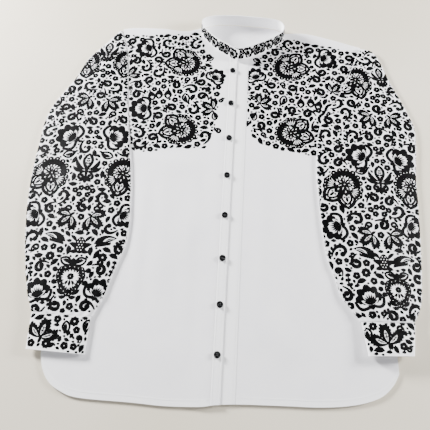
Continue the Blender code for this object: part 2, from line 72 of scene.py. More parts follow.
# Collar band, and where its seam climbs onto the opening's bands, comes down again and reaches the back
COLLAR_HEIGHT = 26.0
NECK_RISE, NECK_DROP, BACK_NECK = (-48.0, -9.0), (9.0, 44.0), (668.0, 680.0)
# Stations round the seam, those at its end that lie over its start, and how far in the panels' edges lie
NECK_STATIONS, NECK_TUCK, NECK_EDGE_IN = 480, 60, 1.8
FRONT_NECK_TOP = 662.0
NECK_MIDDLE = (16.0, 640.0, 18.0)

# Shoulder turn of the back
TURN_RADIUS = 0.75 + CLOTH / 2

# Sleeves: the underarm, the air inside, and how far off the body a sleeve still lies on it
UNDERARM_Y, UNDERARM_CLEAR, ARMHOLE_GAP = 361.0, 10.0, 0.7
UNDER_ROOM, SLEEVE_AIR, SLEEVE_EDGE_AIR = 0.6, 3.4, 0.7
AIR_SPREAD, FULL_WIDTH = 0.6, 90.0
RIDE_CLEAR, RIDE_RAMP, RIDE_STEP = 14.0, 64.0, 12.0
FOLD_RADIUS, SLEEVE_STATIONS = 1.7, 400
# Cuffs: shares of the sleeve where it lifts and opens towards its cuff, and is gathered into it
CUFF_LIFT, CUFF_AIR_START = (0.86, 0.97), 0.84
GATHERS, GATHER_RISE, GATHER_SHARE = 7, 1.3, 0.16
CUFF_SQUARE_ACROSS, CUFF_SQUARE_UP = 0.62, 0.8

# Hem, and how far apart the points of a panel and of its edges stand
HEM_BAND, HEM_STEP, HEM_RIGHT, HEM_LEFT = 11.0, 3.0, -280, 286
PANEL_STEP, ROW_SHARE, PANEL_INSET = 7.0, 0.87, 1.2
EDGE_STEP, CORNER_ROOM = 5.0, 4

HEM = (
    (-284, -14), (-277, -36), (-264, -55), (-243, -68), (-212, -76), (-131, -78),
    (-77, -80), (-24, -78), (1, -74), (37, -71), (107, -69), (160, -68), (203, -64),
    (236, -57), (262, -46), (280, -29), (290, -12),
)
RIGHT_SIDE = (
    (-284, -14), (-283, 80), (-277, 200), (-266, 290), (-240, 322), (-205, 338),
    (-189, 361), (-197, 421), (-206, 479), (-214, 540), (-221, 585), (-229, 618), (-240, 651),
)
LEFT_SIDE = (
    (290, -12), (288, 80), (280, 200), (268, 290), (238, 322), (196, 340),
    (177, 372), (181, 427), (196, 467), (225, 512), (242, 550), (260, 597), (267, 618),
)
# Shoulders: x, y of the turned top edge, y of the forward seam
SHOULDER_RIGHT = (
    (-240, 659, 652), (-212, 664, 645), (-152, 665, 652), (-107, 661, 654), (-73, 671, 662),
)
SHOULDER_LEFT = (
    (106, 667, 656), (150, 669, 649), (200, 658, 639), (250, 643, 627), (267, 638, 619),
)
# Neck seam round from the overlap's end: x, y, lean of the band from upright in degrees
NECK = (
    (8, 584, 14), (-3, 591, 14), (-16, 600, 13), (-30, 610, 12), (-46, 624, 10), (-62, 642, 6),
    (-71, 660, 3), (-66, 674, 0), (-45, 683, 0), (-9, 686, 0), (32, 685, 0), (72, 682, 0),
    (94, 676, 0), (105, 661, 4), (102, 645, 8), (88, 630, 13), (62, 612, 17), (36, 598, 19),
    (19, 591, 19), (7, 589.5, 16), (-3, 595, 14),
)
# Sleeve sections from shoulder to cuff: inner edge x, y, then outer edge x, y
RIGHT_SLEEVE = (
    (-240.5, 652, -248, 652), (-232, 628, -268, 622), (-226, 604, -286, 598),
    (-219.5, 573, -304, 571), (-214, 538, -320, 526), (-209, 500, -338, 490),
    (-203, 460, -355, 455), (-196, 415, -364, 415), (-190, 375, -365, 372),
    (-182, 331, -366, 330), (-175, 285, -365, 285), (-171, 240, -361, 240),
    (-169, 204, -356, 206), (-172, 169, -350, 170), (-180, 142, -343, 140),
    (-187, 116, -336, 112), (-195, 84, -326, 82), (-203, 64, -318, 63), (-210, 48.5, -311, 48.5),
)
LEFT_SLEEVE = (
    (260, 617, 267, 632), (253, 601, 290, 626), (244, 577, 304, 606),
    (234, 551, 313, 580), (222, 524, 324, 547), (205, 494, 338, 514),
    (187, 466, 352, 476), (176, 435, 361, 445), (170, 400, 361, 408),
    (168, 365, 357, 370), (167, 330, 353, 332), (169, 290, 352, 292),
    (172, 250, 350, 250), (176, 208, 348, 208), (182, 168, 345, 168),
    (193, 137, 342, 134), (202, 106, 338, 106), (217, 86, 330, 84), (232, 66, 321, 69),
)
# Soft folds and finer creases: x, y at each end, half-width and height. A fold is lower at its ends
FOLD_ENDS = 0.15
BODY_FOLDS = (
    (-150, 300, -45, 170, 34, 1.6), (-120, 120, -35, 250, 30, 1.0), (80, 290, 150, 150, 36, 1.2),
    (60, 60, 130, 10, 30, 0.9), (-130, 30, -60, -30, 32, 0.9), (-150, 340, -60, 330, 26, 1.1),
)
BODY_CREASES = (
    (-150, 300, -146, 70, 10, 1.2), (-118, 330, -104, 40, 15, 0.9), (-62, 300, -54, -10, 13, 0.8),
    (70, 320, 66, 30, 14, 0.9), (118, 330, 126, 20, 15, 1.0), (142, 330, 148, 90, 10, 1.2),
    (-175, 350, -70, 345, 8, 0.5), (-160, 290, -120, 190, 9, 0.5), (-60, 330, -40, 210, 8, 0.4),
    (-220, 120, -170, 20, 10, 0.5), (-95, 70, -70, -40, 8, 0.4), (60, 340, 78, 240, 8, 0.45),
    (120, 345, 165, 330, 8, 0.5), (200, 150, 150, 60, 9, 0.5), (90, 110, 115, 0, 9, 0.45),
    (-30, 610, -60, 560, 7, 0.4), (45, 600, 75, 560, 7, 0.5), (230, 60, 210, -20, 9, 0.5),
)
# Where the soft folds die out towards the sleeves, the chest and the opening
FADE_RIGHT, FADE_LEFT, FADE_TOP = (-185, -150), (135, 165), (340, 420)
OPENING_RIGHT, OPENING_LEFT = (-40, -10), (34, 60)
RIGHT_SLEEVE_FOLDS = (
    (-236, 620, -290, 470, 13, 2.6), (-228, 560, -262, 430, 11, 2.0), (-330, 440, -345, 330, 12, 1.8),
    (-300, 300, -270, 190, 14, 1.6), (-205, 330, -200, 200, 12, 2.0), (-330, 200, -300, 100, 11, 1.8),
    (-225, 150, -240, 70, 10, 1.8),
)
LEFT_SLEEVE_FOLDS = (
    (266, 612, 250, 500, 13, 3.4), (282, 606, 300, 470, 13, 3.0), (240, 560, 200, 450, 10, 2.2),
    (330, 430, 338, 300, 12, 1.8), (210, 330, 216, 210, 13, 2.2), (290, 260, 310, 150, 13, 1.8),
    (230, 150, 262, 76, 11, 2.2),
)
RIGHT_SLEEVE_CREASES = (
    (-212, 480, -260, 400, 7, 0.8), (-320, 500, -350, 420, 7, 0.7), (-190, 260, -230, 180, 7, 0.7),
    (-340, 280, -320, 200, 7, 0.7), (-250, 130, -262, 60, 6, 0.9), (-290, 120, -280, 56, 6, 0.8),
)
LEFT_SLEEVE_CREASES = (
    (205, 470, 250, 400, 7, 0.8), (320, 520, 345, 430, 7, 0.8), (190, 260, 230, 190, 7, 0.7),
    (335, 280, 320, 200, 7, 0.7), (250, 140, 262, 76, 6, 0.9), (300, 150, 292, 80, 6, 0.9),
)
# Seam and mouth: inner edge x, y, then outer edge x, y. Heights at the seam and the mouth
RIGHT_CUFF = {"seam": (-211, 48, -311, 48), "mouth": (-212, -12, -308, -9), "height": (6.6, 6.9), "air": 0}
LEFT_CUFF = {"seam": (233, 65, 321, 68), "mouth": (241, 12, 314, 16), "height": (10, 14), "air": 4}

# Stitching
STITCH_LENGTH, STITCH_PITCH, STITCH_WIDE = 2.3, 3.1, 0.45
SEAM_INSET, CUFF_SEAMS = 1.6, (0.05, 0.955)
EDGE_RISE, LEVEL_RISE, RIDGE_RISE = 0.06, 0.42, 0.24
LONGEST_EDGE, TORN_EDGE, EDGE_INSET = 4.6, 11.5, 0.5
UNDER_PRESS, COLLAR_PRESS = 0.35, 0.8
# Threads to the metre in the cotton, and strands to the metre across a stroke
COTTON_THREADS, SATIN_STRANDS = 1900, 2400
# How far stitches reach past a drawn line, on the cloth and on white, and how far they cover the white
SPREAD, COVERED = (0.98, 0.42), 0.42


def ease(low, high, value):
    """0 below low, 1 above high, and a smooth step between."""
    t = np.clip((np.asarray(value, float) - low) / (high - low), 0, 1)
    return t * t * (3 - 2 * t)


def through(rows, count):
    """count points, evenly spaced, on the smooth curve through a table's rows."""
    rows = np.array(rows, float)
    ends = np.vstack([2 * rows[0] - rows[1], rows, 2 * rows[-1] - rows[-2]])
    fine = []
    for a, b, c, d in zip(ends, ends[1:], ends[2:], ends[3:]):
        for t in np.linspace(0, 1, 24, endpoint=False):
            bend, twist = 2 * a - 5 * b + 4 * c - d, 3 * b - a - 3 * c + d
            fine.append(0.5 * (2 * b + (c - a) * t + bend * t**2 + twist * t**3))
    fine = np.array(fine + [rows[-1]])
    walked = np.concatenate([[0], np.cumsum(np.hypot(*np.diff(fine[:, :2], axis=0).T))])
    wanted = np.linspace(0, walked[-1], count)
    return np.column_stack([np.interp(wanted, walked, column) for column in fine.T])


def length_of(line):
    """How long a line is in plan."""
    return float(np.hypot(*np.diff(np.asarray(line, float)[:, :2], axis=0).T).sum())


def edge(rows, step=EDGE_STEP):
    """The curve through a table's rows as plan points about a step apart."""
    return through(rows, max(3, round(length_of(rows) / step) + 1))[:, :2]


def batches(x, y, size=4000):
    """Plan points a few thousand at a time."""
    count = len(x) // size + 1
    return zip(np.array_split(x, count), np.array_split(y, count))


def depth_inside(outline, x, y):
    """Distances from plan points to an outline, positive inside it."""
    a = np.asarray(outline, float)
    b = np.roll(a, -1, axis=0)
    run = b - a
    found = []
    for px, py in batches(x, y):
        dx, dy = px[:, None] - a[:, 0], py[:, None] - a[:, 1]
        along = np.clip((dx * run[:, 0] + dy * run[:, 1]) / ((run**2).sum(1) + 1e-9), 0, 1)
        away = np.hypot(dx - along * run[:, 0], dy - along * run[:, 1]).min(1)
        crosses = (a[:, 1] > py[:, None]) != (b[:, 1] > py[:, None])
        rise = np.where(run[:, 1] == 0, 1, run[:, 1])
        hits = crosses & (px[:, None] < a[:, 0] + dy * run[:, 0] / rise)
        found.append(np.where(hits.sum(1) % 2, away, -away))
    return np.concatenate(found)


def folds_at(folds, x, y):
    """Rise of the cloth at plan points from a table of folds."""
    rise = np.zeros(np.shape(x))
    for x0, y0, x1, y1, half_width, height in folds:
        run_x, run_y = x1 - x0, y1 - y0
        share = np.clip(((x - x0) * run_x + (y - y0) * run_y) / (run_x**2 + run_y**2), 0, 1)
        away = np.hypot(x - x0 - share * run_x, y - y0 - share * run_y)
        along = np.sin(math.pi * (FOLD_ENDS + (1 - 2 * FOLD_ENDS) * share))
        rise += height * along * np.exp(-((away / half_width) ** 2))
    return rise


def body_top(x, y):
    """Height of the fronts' outer face."""
    clear = ease(*FADE_RIGHT, x) * (1 - ease(*FADE_LEFT, x)) * (1 - ease(*FADE_TOP, y))
    opening = ease(*OPENING_RIGHT, x) * (1 - ease(*OPENING_LEFT, x))
    ramp = (ON_UNDERLAP_Z - FRONT_Z) * ease(RAMP_START, RAMP_END, x) * (np.asarray(x) < 0)
    creases = folds_at(BODY_CREASES, x, y) * (1 - opening)
    return FRONT_Z + CLOTH + ramp + folds_at(BODY_FOLDS, x, y) * clear * (1 - opening) + creases


def neck_ring(inwards=0.0):
    """Stations round the neck seam, moved inwards in plan, and the inward directions."""
    rows = through(NECK, NECK_STATIONS)
    run = np.gradient(rows[:, :2], axis=0)
    run /= np.hypot(*run.T)[:, None]
    inward = np.column_stack([run[:, 1], -run[:, 0]])
    rows[:, :2] += inward * inwards
    return rows, inward


def neck_between(x_low, x_high, front):
    """Plan points of the panels' neck edge between two x, on the front or the back half."""
    rows = neck_ring(NECK_EDGE_IN)[0][:-NECK_TUCK:4]
    rows = rows[((rows[:, 1] < FRONT_NECK_TOP) == front) & (rows[:, 0] > x_low) & (rows[:, 0] < x_high)]
    return rows[np.argsort(rows[:, 0]), :2]


def neck_height(x):
    """y of the front neck edge."""
    return np.interp(x, *FRONT_NECK.T)


def hem_height(x):
    """y of the hem."""
    return np.interp(x, *HEM_LINE.T)


def shoulder_rows(table):
    """x, y of the fold and y of the forward seam, across one shoulder."""
    return through(table, max(3, round(length_of(table) / EDGE_STEP)))


def straight(x, top, bottom):
    """Plan points from one y to another at one x."""
    ys = np.linspace(top, bottom, round(abs(top - bottom) / EDGE_STEP) + 1)
    return np.column_stack([np.full(len(ys), x), ys])


def hem_between(low, high):
    """Plan points of the hem between two x."""
    return HEM_LINE[(HEM_LINE[:, 0] > low) & (HEM_LINE[:, 0] < high)]


HEM_LINE = edge(HEM)
FRONT_NECK = neck_between(SHOULDER_RIGHT[-1][0], SHOULDER_LEFT[0][0], True)


def right_front_outline():
    """Down the side, along the hem, up beside the overlap band, and back by neck and shoulder."""
    centre = OVERLAP_LEFT - GAP
    seam = shoulder_rows(SHOULDER_RIGHT)[1:, [0, 2]]
    neck = neck_between(SHOULDER_RIGHT[-1][0] + CORNER_ROOM, centre - CORNER_ROOM, True)
    rise = straight(centre, hem_height(centre), neck_height(centre))
    hem = hem_between(HEM_RIGHT, centre - CORNER_ROOM)
    return np.vstack([edge(RIGHT_SIDE)[::-1], hem, rise, neck[::-1], seam[::-1]])


def left_front_outline():
    """Down beside the underlap band, along the hem, up the side, and back by shoulder and neck."""
    centre = UNDERLAP_RIGHT + GAP
    seam = shoulder_rows(SHOULDER_LEFT)[:-1, [0, 2]]
    neck = neck_between(centre + CORNER_ROOM, SHOULDER_LEFT[0][0] - CORNER_ROOM, True)
    drop = straight(centre, neck_height(centre), hem_height(centre))
    hem = hem_between(centre + CORNER_ROOM, HEM_LEFT)
    return np.vstack([drop, hem, edge(LEFT_SIDE), seam[::-1], neck[::-1]])


FRONTS = {"right": right_front_outline(), "left": left_front_outline()}


def mapped_mesh(name, points, faces, cloth_map):
    """A mesh with a place on the cloth for each corner of its faces."""
    mesh = bpy.data.meshes.new(name)
    mesh.from_pydata(points.tolist(), [], faces.tolist())
    mesh.uv_layers.new(name="cloth").data.foreach_set("uv", (cloth_map * MM).ravel())
    return mesh


def sewn_on(name, mesh, look):
    """The piece that a mesh makes, on the shirt."""
    mesh.shade_smooth()
    mesh.materials.append(look)
    made = bpy.data.objects.new(name, mesh)
    bpy.context.scene.collection.objects.link(made)
    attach(made, "root")
    return made


def cotton_piece(name, points, faces, cloth_map, plies):
    """A cloth surface from layout points, with how many plies lie behind each: 0 for one, 1 for two."""
    made = sewn_on(name, mapped_mesh(name, (points - CENTRE) * MM, faces, cloth_map), COTTON)
    layer = made.data.attributes.new("plies", "FLOAT", "POINT")
    layer.data.foreach_set("value", plies + np.zeros(len(points)))
    return made


def select_only(thing):
    bpy.ops.object.select_all(action="DESELECT")
    bpy.context.view_layer.objects.active = thing
    thing.select_set(True)


def thicken(made, thickness):
    """Gives a cloth surface its thickness, inwards from the face that shows."""
    wall = made.modifiers.new("thickness", "SOLIDIFY")
    wall.thickness, wall.offset = thickness * MM, -1.0
    wall.use_even_offset = False
    select_only(made)
    bpy.ops.object.modifier_apply(modifier=wall.name)
    select_only(made)
    bpy.ops.object.shade_smooth_by_angle(angle=math.radians(50))
    return made


def grid_faces(rows, columns, closed=False):
    """Four-sided faces between rows of points, each row closed round if asked."""
    k = np.arange(rows * columns).reshape(rows, columns)
    if closed:
        k = np.hstack([k, k[:, :1]])
    return np.stack([k[:-1, :-1], k[:-1, 1:], k[1:, 1:], k[1:, :-1]], axis=-1).reshape(-1, 4)


def outward(points, faces, middle):
    """The faces, turned if need be so that they point away from the middle line of the form."""
    a, b, c = (points[faces[:, k]] for k in range(3))
    normal = np.cross(b - a, c - a)
    facing = (normal * ((a + b + c) / 3 - middle)).sum()
    return faces if facing > 0 else faces[:, ::-1]


def cut_panel(name, outline, height, up=True):
    """A panel cut to an outline, with an even field of points inside it and a crisp edge to its hem."""
    low, high = outline.min(0), outline.max(0)
    xs, ys = np.arange(low[0], high[0], PANEL_STEP), np.arange(low[1], high[1], PANEL_STEP * ROW_SHARE)
    field = np.array([(x + PANEL_STEP / 2 * (row % 2), y) for row, y in enumerate(ys) for x in xs])
    field = field[abs(field[:, 1] - hem_height(field[:, 0]) - HEM_BAND) > PANEL_STEP / 2]
    hem = edge(HEM, HEM_STEP)
    field = np.vstack([field, hem + [0, HEM_BAND - 0.7], hem + [0, HEM_BAND + 0.7]])
    field = field[depth_inside(outline, field[:, 0], field[:, 1]) > PANEL_INSET]
    given = [Vector(p) for p in np.vstack([outline, field])]
    flat, _, faces, _, _, _ = delaunay_2d_cdt(given, [], [list(range(len(outline)))], 1, 1e-4)
    flat = np.array([p[:] for p in flat])
    faces = np.array(faces) if up else np.array(faces)[:, ::-1]
    points = np.column_stack([flat, height(flat[:, 0], flat[:, 1])])
    plies = 1 - ease(HEM_BAND - 0.6, HEM_BAND + 0.6, flat[:, 1] - hem_height(flat[:, 0]))
    return thicken(cotton_piece(name, points, faces, flat[faces.ravel()], plies), SHELL)


class Sleeve:
    """The flattened tube of one sleeve, from its table of sections."""

    def __init__(self, table, side, top, folds, creases, cuff, along_armhole):
        self.rows = through(table, SLEEVE_STATIONS)
        if along_armhole:
            line = sorted((y, x) for x, y in edge(side) if y >= UNDERARM_Y)
            upper = self.rows[:, 1] > UNDERARM_Y + UNDERARM_CLEAR
            met = np.interp(self.rows[:, 1], *zip(*line)) - ARMHOLE_GAP
            self.rows[upper, 0] = met[upper]
        carried = edge(side, RIDE_STEP)
        carried = carried[carried[:, 1] <= top]
        self.carried = np.vstack([carried, [(0, carried[-1, 1]), (0, carried[0, 1])]])
        self.folds, self.creases, self.cuff_air = folds, creases, cuff["air"]

    def plan(self, share, u):
        """Plan points at a share of the length and of the width, and the width there."""
        at = np.clip(share, 0, 1) * (len(self.rows) - 1)
        row = np.column_stack([np.interp(at, np.arange(len(self.rows)), c) for c in self.rows.T])
        inner, outer = row[:, :2], row[:, 2:4]
        return inner + (outer - inner) * u[:, None], np.hypot(*(outer - inner).T)

    def point(self, share, around):
        """Points on the outside. around is 0 to 1 over the top and 1 to 2 back underneath."""
        u = np.clip(np.where(around > 1, 2 - around, around), 0, 1)
        flat, width = self.plan(share, u)
        x, y = flat.T
        at_cuff = ease(*CUFF_LIFT, share)
        lift = ease(-RIDE_RAMP, -RIDE_CLEAR, depth_inside(self.carried, x, y))
        floor = np.maximum(UNDER_ROOM, ON_FRONT_Z * np.maximum(lift, at_cuff))
        arch = np.clip(np.sin(math.pi * u), 0, 1)
        air = SLEEVE_AIR - SLEEVE_EDGE_AIR + self.cuff_air * ease(CUFF_AIR_START, 1, share)
        air = air * np.minimum(1, width / FULL_WIDTH) * arch**AIR_SPREAD
        gathers = GATHER_RISE * np.sin(math.pi * GATHERS * u) ** 2 * ease(1 - GATHER_SHARE, 1, share)
        rise = gathers + folds_at(self.folds, x, y) * np.sqrt(arch)
        rise += folds_at(self.creases, x, y) * ease(0, 0.1, arch)
        edge_high = 2 * CLOTH + GAP + SLEEVE_EDGE_AIR
        high = edge_high + air + rise
        away = np.minimum(u, 1 - u) * width / FOLD_RADIUS
        turn = np.sqrt(1 - (1 - np.clip(away, 0, 1)) ** 2)
        upper = floor + edge_high / 2 + (high - edge_high / 2) * turn
        lower = floor + edge_high / 2 * (1 - turn)
        return np.column_stack([x, y, np.where(around > 1, lower, upper)])

    def outline(self):
        """The sleeve's edge as it lies."""
        return np.vstack([self.rows[::10, :2], self.rows[::-10, 2:4]])

    def find(self, x, y):
        """How far down the sleeve plan points lie, and how far across from its inner edge."""
        rows = self.rows[::4]
        inner, run = rows[:, :2], rows[:, 2:4] - rows[:, :2]
        found = []
        for px, py in batches(x, y):
            side = (px[:, None] - inner[:, 0]) * run[:, 1] - (py[:, None] - inner[:, 1]) * run[:, 0]
            side = side * np.sign(run[:, 0])
            past = np.clip((side > 0).sum(1), 1, len(rows) - 1)
            k = np.arange(len(px))
            before, after = side[k, past - 1], side[k, past]
            found.append(past - 1 + before / np.where(before == after, 1, before - after))
        at = np.concatenate(found)
        here_x, here_y, far_x, far_y = (np.interp(at, np.arange(len(rows)), c) for c in rows[:, :4].T)
        wide_x, wide_y = far_x - here_x, far_y - here_y
        reach = ((x - here_x) * wide_x + (y - here_y) * wide_y) / (wide_x**2 + wide_y**2)
        return at * 4 / (len(self.rows) - 1), reach


class Cuff:
    """The flattened tube of one cuff."""

    def __init__(self, sizes):
        self.seam, self.mouth = (np.array(sizes[k], float) for k in ("seam", "mouth"))
        self.high = sizes["height"]

    def point(self, share, around):
        u = np.clip(np.where(around > 1, 2 - around, around), 0, 1)
        ends = self.seam + (self.mouth - self.seam) * share[:, None]
        flat = ends[:, :2] + (ends[:, 2:] - ends[:, :2]) * u[:, None]
        cosine = np.abs(2 * u - 1) ** (1 / CUFF_SQUARE_ACROSS)
        up = np.sqrt(np.clip(1 - cosine**2, 0, 1)) ** CUFF_SQUARE_UP
        high = self.high[0] + (self.high[1] - self.high[0]) * share
        return np.column_stack([flat, ON_FRONT_Z + high / 2 * (1 + np.where(around > 1, -up, up))])

    def outline(self):
        return np.array([self.seam[:2], self.mouth[:2], self.mouth[2:], self.seam[2:]])

    def find(self, x, y):
        share = (self.seam[1] - y) / (self.seam[1] - self.mouth[1])
        ends = self.seam + (self.mouth - self.seam) * share[:, None]
        return share, (x - ends[:, 0]) / (ends[:, 2] - ends[:, 0])


def outer_side(point, p, q, step_p, step_q):
    """Directions square to a surface, from small steps along it."""
    across = point(p + step_p, q) - point(p - step_p, q)
    along = point(p, q + step_q) - point(p, q - step_q)
    normal = np.cross(across, along)
    return normal / (np.linalg.norm(normal, axis=1)[:, None] + 1e-12)


class Facing:
    """The upper or lower side of a sleeve or cuff. Stitches underneath are pressed flat."""

    STEPS, NEAREST = (0.002, 0.004), (0.003, 0.997)

    def __init__(self, tube, under):
        self.press = UNDER_PRESS if under else 1.0
        self.find, self.point, self.under = tube.find, tube.point, under
        half = np.array([0.5])
        self.out = np.sign(outer_side(tube.point, half, half, *self.STEPS)[0, 2])

    def held(self, share, across):
        on = (share > 0.002) & (share < 0.998) & (across > 0) & (across < 1)
        share, across = np.clip(share, *self.NEAREST), np.clip(across, *self.NEAREST)
        return on, share, 2 - across if self.under else across

    def normal(self, share, around):
        return outer_side(self.point, share, around, *self.STEPS) * self.out


class Body:
    """A front, found straight from the plan and kept to its outline."""

    press = 1.0

    def __init__(self, outline, top=body_top):
        self.outline, self.top = outline, top

    def find(self, x, y):
        return x, y

    def held(self, x, y):
        on = depth_inside(self.outline, x, y) > EDGE_INSET
        x, y = x.copy(), y.copy()
        if not on.all():
            x[~on], y[~on] = nearest_on(self.outline, x[~on], y[~on]).T
        return on, x, y

    def point(self, x, y):
        return np.column_stack([x, y, self.top(x, y)])

    def normal(self, x, y):
        return np.column_stack([np.zeros((len(x), 2)), np.ones(len(x))])


class Collar:
    """The outside of the collar band, found by millimetres along it and up it."""

    press = COLLAR_PRESS

    def __init__(self):
        self.rows, self.inward = neck_ring()
        self.long = length_of(self.rows)

    def point(self, along, up):
        at = np.clip(along / self.long, 0, 1) * (NECK_STATIONS - 1)
        steps = np.arange(NECK_STATIONS)
        x, y, lean = (np.interp(at, steps, c) for c in self.rows.T)
        in_x, in_y = (np.interp(at, steps, c) for c in self.inward.T)
        centre = ease(*NECK_RISE, x) * (1 - ease(*NECK_DROP, x))
        front = ON_FRONT_Z + (ON_OVERLAP_Z - ON_FRONT_Z) * centre
        floor = front + (FRONT_Z - front) * ease(*BACK_NECK, y)
        tilt = np.radians(lean)
        along_in = up * np.sin(tilt)
        z = floor + DOUBLE * np.sin(tilt) + up * np.cos(tilt)
        return np.column_stack([x + in_x * along_in, y + in_y * along_in, z])

    def find(self, along, up):
        return along, up

    def held(self, along, up):
        on = (along > 0.6) & (along < self.long - 0.6) & (up > 1.2) & (up < COLLAR_HEIGHT - 1.2)
        return on, np.clip(along, 0.8, self.long - 0.8), np.clip(up, 1.3, COLLAR_HEIGHT - 1.3)

    def normal(self, along, up):
        normal = outer_side(self.point, along, up, 0.8, 0.4)
        away = self.point(along, up) - np.array(NECK_MIDDLE)
        return normal * np.sign((normal * away).sum(1).mean())


SLEEVES = {
    "right": Sleeve(RIGHT_SLEEVE, RIGHT_SIDE, UNDERARM_Y, RIGHT_SLEEVE_FOLDS, RIGHT_SLEEVE_CREASES,
                    RIGHT_CUFF, True),
    "left": Sleeve(LEFT_SLEEVE, LEFT_SIDE, LEFT_SIDE[-1][1], LEFT_SLEEVE_FOLDS, LEFT_SLEEVE_CREASES,
                   LEFT_CUFF, False),
}
CUFFS = {"right": Cuff(RIGHT_CUFF), "left": Cuff(LEFT_CUFF)}
COLLAR = Collar()


class Value:
    """A number in a shader, worked with like any other."""

    def __init__(self, look, socket):
        self.look, self.socket = look, socket

    def worked(self, operation, *others):
        return self.look.node("ShaderNodeMath", {"operation": operation}, dict(enumerate(others)))[0]

    def __add__(self, other):
        return self.worked("ADD", self, other)

    def __mul__(self, other):
        return self.worked("MULTIPLY", self, other)

    def sine(self):
        return self.worked("SINE", self)


class Look:
    """A Principled material and the nodes that feed it."""

    def __init__(self, name, **sockets):
        self.material = bpy.data.materials.new(name)
        self.material.use_nodes = True
        self.tree = self.material.node_tree
        self.shader = self.tree.nodes["Principled BSDF"]
        for key, value in sockets.items():
            self.shader.inputs[key.replace("_", " ")].default_value = value

    def node(self, kind, settings, inputs):
        """Adds a node, sets it up, then gives its sockets their values or links."""
        made = self.tree.nodes.new(kind)
        for key, value in settings.items():
            setattr(made, key, value)
        for key, value in inputs.items():
            if isinstance(value, Value):
                self.tree.links.new(value.socket, made.inputs[key])
            else:
                made.inputs[key].default_value = value
        return [Value(self, out) for out in made.outputs]

    def noise(self, place, scale, detail=2.0):
        inputs = {"Vector": place, "Scale": scale, "Detail": detail}
        return self.node("ShaderNodeTexNoise", {"noise_dimensions": "3D"}, inputs)[0]

    def mixed(self, share, low, high):
        inputs = {0: share, 6: low, 7: high}
        return self.node("ShaderNodeMix", {"data_type": "RGBA"}, inputs)[2]

    def feed(self, name, value):
        self.tree.links.new(value.socket, self.shader.inputs[name])

    def bump(self, height, strength, distance):
        inputs = {"Height": height, "Strength": strength, "Distance": distance}
        self.feed("Normal", self.node("ShaderNodeBump", {}, inputs)[0])


def cotton_look():
    """Fine plain-weave cotton with slubs, whiter where it lies double."""
    look = Look("white_cotton", Roughness=0.86, Sheen_Weight=0.12, Specular_IOR_Level=0.25)
    place = look.node("ShaderNodeUVMap", {"uv_map": "cloth"}, {})[0]
    x, y, _ = look.node("ShaderNodeSeparateXYZ", {}, {0: place})
    threads = 2 * math.pi * COTTON_THREADS
    slub = look.noise(place, 900.0, 3.0)
    weave = (x * threads + slub * 2.0).sine() * (y * threads + slub * 2.0).sine()
    plies = look.node("ShaderNodeAttribute", {"attribute_name": "plies"}, {})[2]
    cloudy = look.noise(place, 22.0)
    single = look.mixed(cloudy, (0.84, 0.83, 0.87, 1), (0.92, 0.91, 0.915, 1))
    look.feed("Base Color", look.mixed(plies * 0.7, single, (0.96, 0.96, 0.965, 1)))
    look.bump(weave * 0.5 + slub * 0.6, 0.3, 0.00012)
    return look.material


def thread_look(name, colour, sheen, gloss):
    """Satin-stitched thread, whose strands lie across each stroke."""
    look = Look(name, Roughness=0.55, Sheen_Weight=sheen, Specular_IOR_Level=gloss)
    place = look.node("ShaderNodeUVMap", {"uv_map": "cloth"}, {})[0]
    _, along, _ = look.node("ShaderNodeSeparateXYZ", {}, {0: place})
    uneven = look.noise(place, 700.0)
    strands = (along * (2 * math.pi * SATIN_STRANDS) + uneven * 4.0).sine()
    light = tuple(min(1.0, c * 1.3 + 0.0006) for c in colour) + (1,)
    look.feed("Base Color", look.mixed(uneven, colour + (1,), light))
    look.bump(strands * 0.5 + uneven * 0.4, 0.35, 0.00015)
    return look.material


def button_look():
    look = Look("black_button", Specular_IOR_Level=0.2, Coat_Weight=0.15, Coat_Roughness=0.1)
    place = look.node("ShaderNodeTexCoord", {}, {})[3]
    wear = look.noise(place, 900.0, 4.0)
    look.feed("Base Color", look.mixed(wear, (0.001, 0.001, 0.0014, 1), (0.004, 0.004, 0.005, 1)))
    look.feed("Roughness", wear * 0.2 + 0.2)
    return look.material


def floor_look():
    look = Look("pale_floor", Roughness=0.8, Specular_IOR_Level=0.2)
    place = look.node("ShaderNodeTexCoord", {}, {})[3]
    worn = look.noise(place, 3.0)
    look.feed("Base Color", look.mixed(worn, (0.62, 0.55, 0.42, 1), (0.76, 0.71, 0.60, 1)))
    return look.material


COTTON = cotton_look()
BLACK_THREAD = thread_look("black_thread", (0.0008, 0.0008, 0.001), 0.0, 0.03)
WHITE_THREAD = thread_look("white_thread", (0.90, 0.90, 0.92), 0.1, 0.15)
BUTTON = button_look()


def make_tube(node, skin, rows, thickness):
    """A sleeve or cuff: closed rings of cloth, open at both ends."""
    columns, spread = 64, 60
    ring = 0.5 - 0.5 * np.cos(np.linspace(0, math.pi, columns + 1))
    around = np.concatenate([ring, 1 + ring[1:-1]])
    shares = np.linspace(0, 1, rows)
    share, turn = (a.ravel() for a in np.meshgrid(shares, around, indexing="ij"))
    points = skin.point(share, turn)
    faces = grid_faces(rows, len(around), closed=True)
    middle = points.reshape(rows, -1, 3).mean(1)[:, None].repeat(len(around), 1).reshape(-1, 3)
    faces = outward(points, faces, middle[faces[:, 0]])
    girth = np.hypot(*(points[columns] - points[0])[:2]) + spread
    cloth_map = np.column_stack([turn * girth, points[:, 1]])
    plies = 1.0 if thickness > SHELL else 0.0
    made = cotton_piece(f"{node}_cloth", points, faces, cloth_map[faces.ravel()], plies)
    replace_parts(thicken(made, thickness), node)
    return made


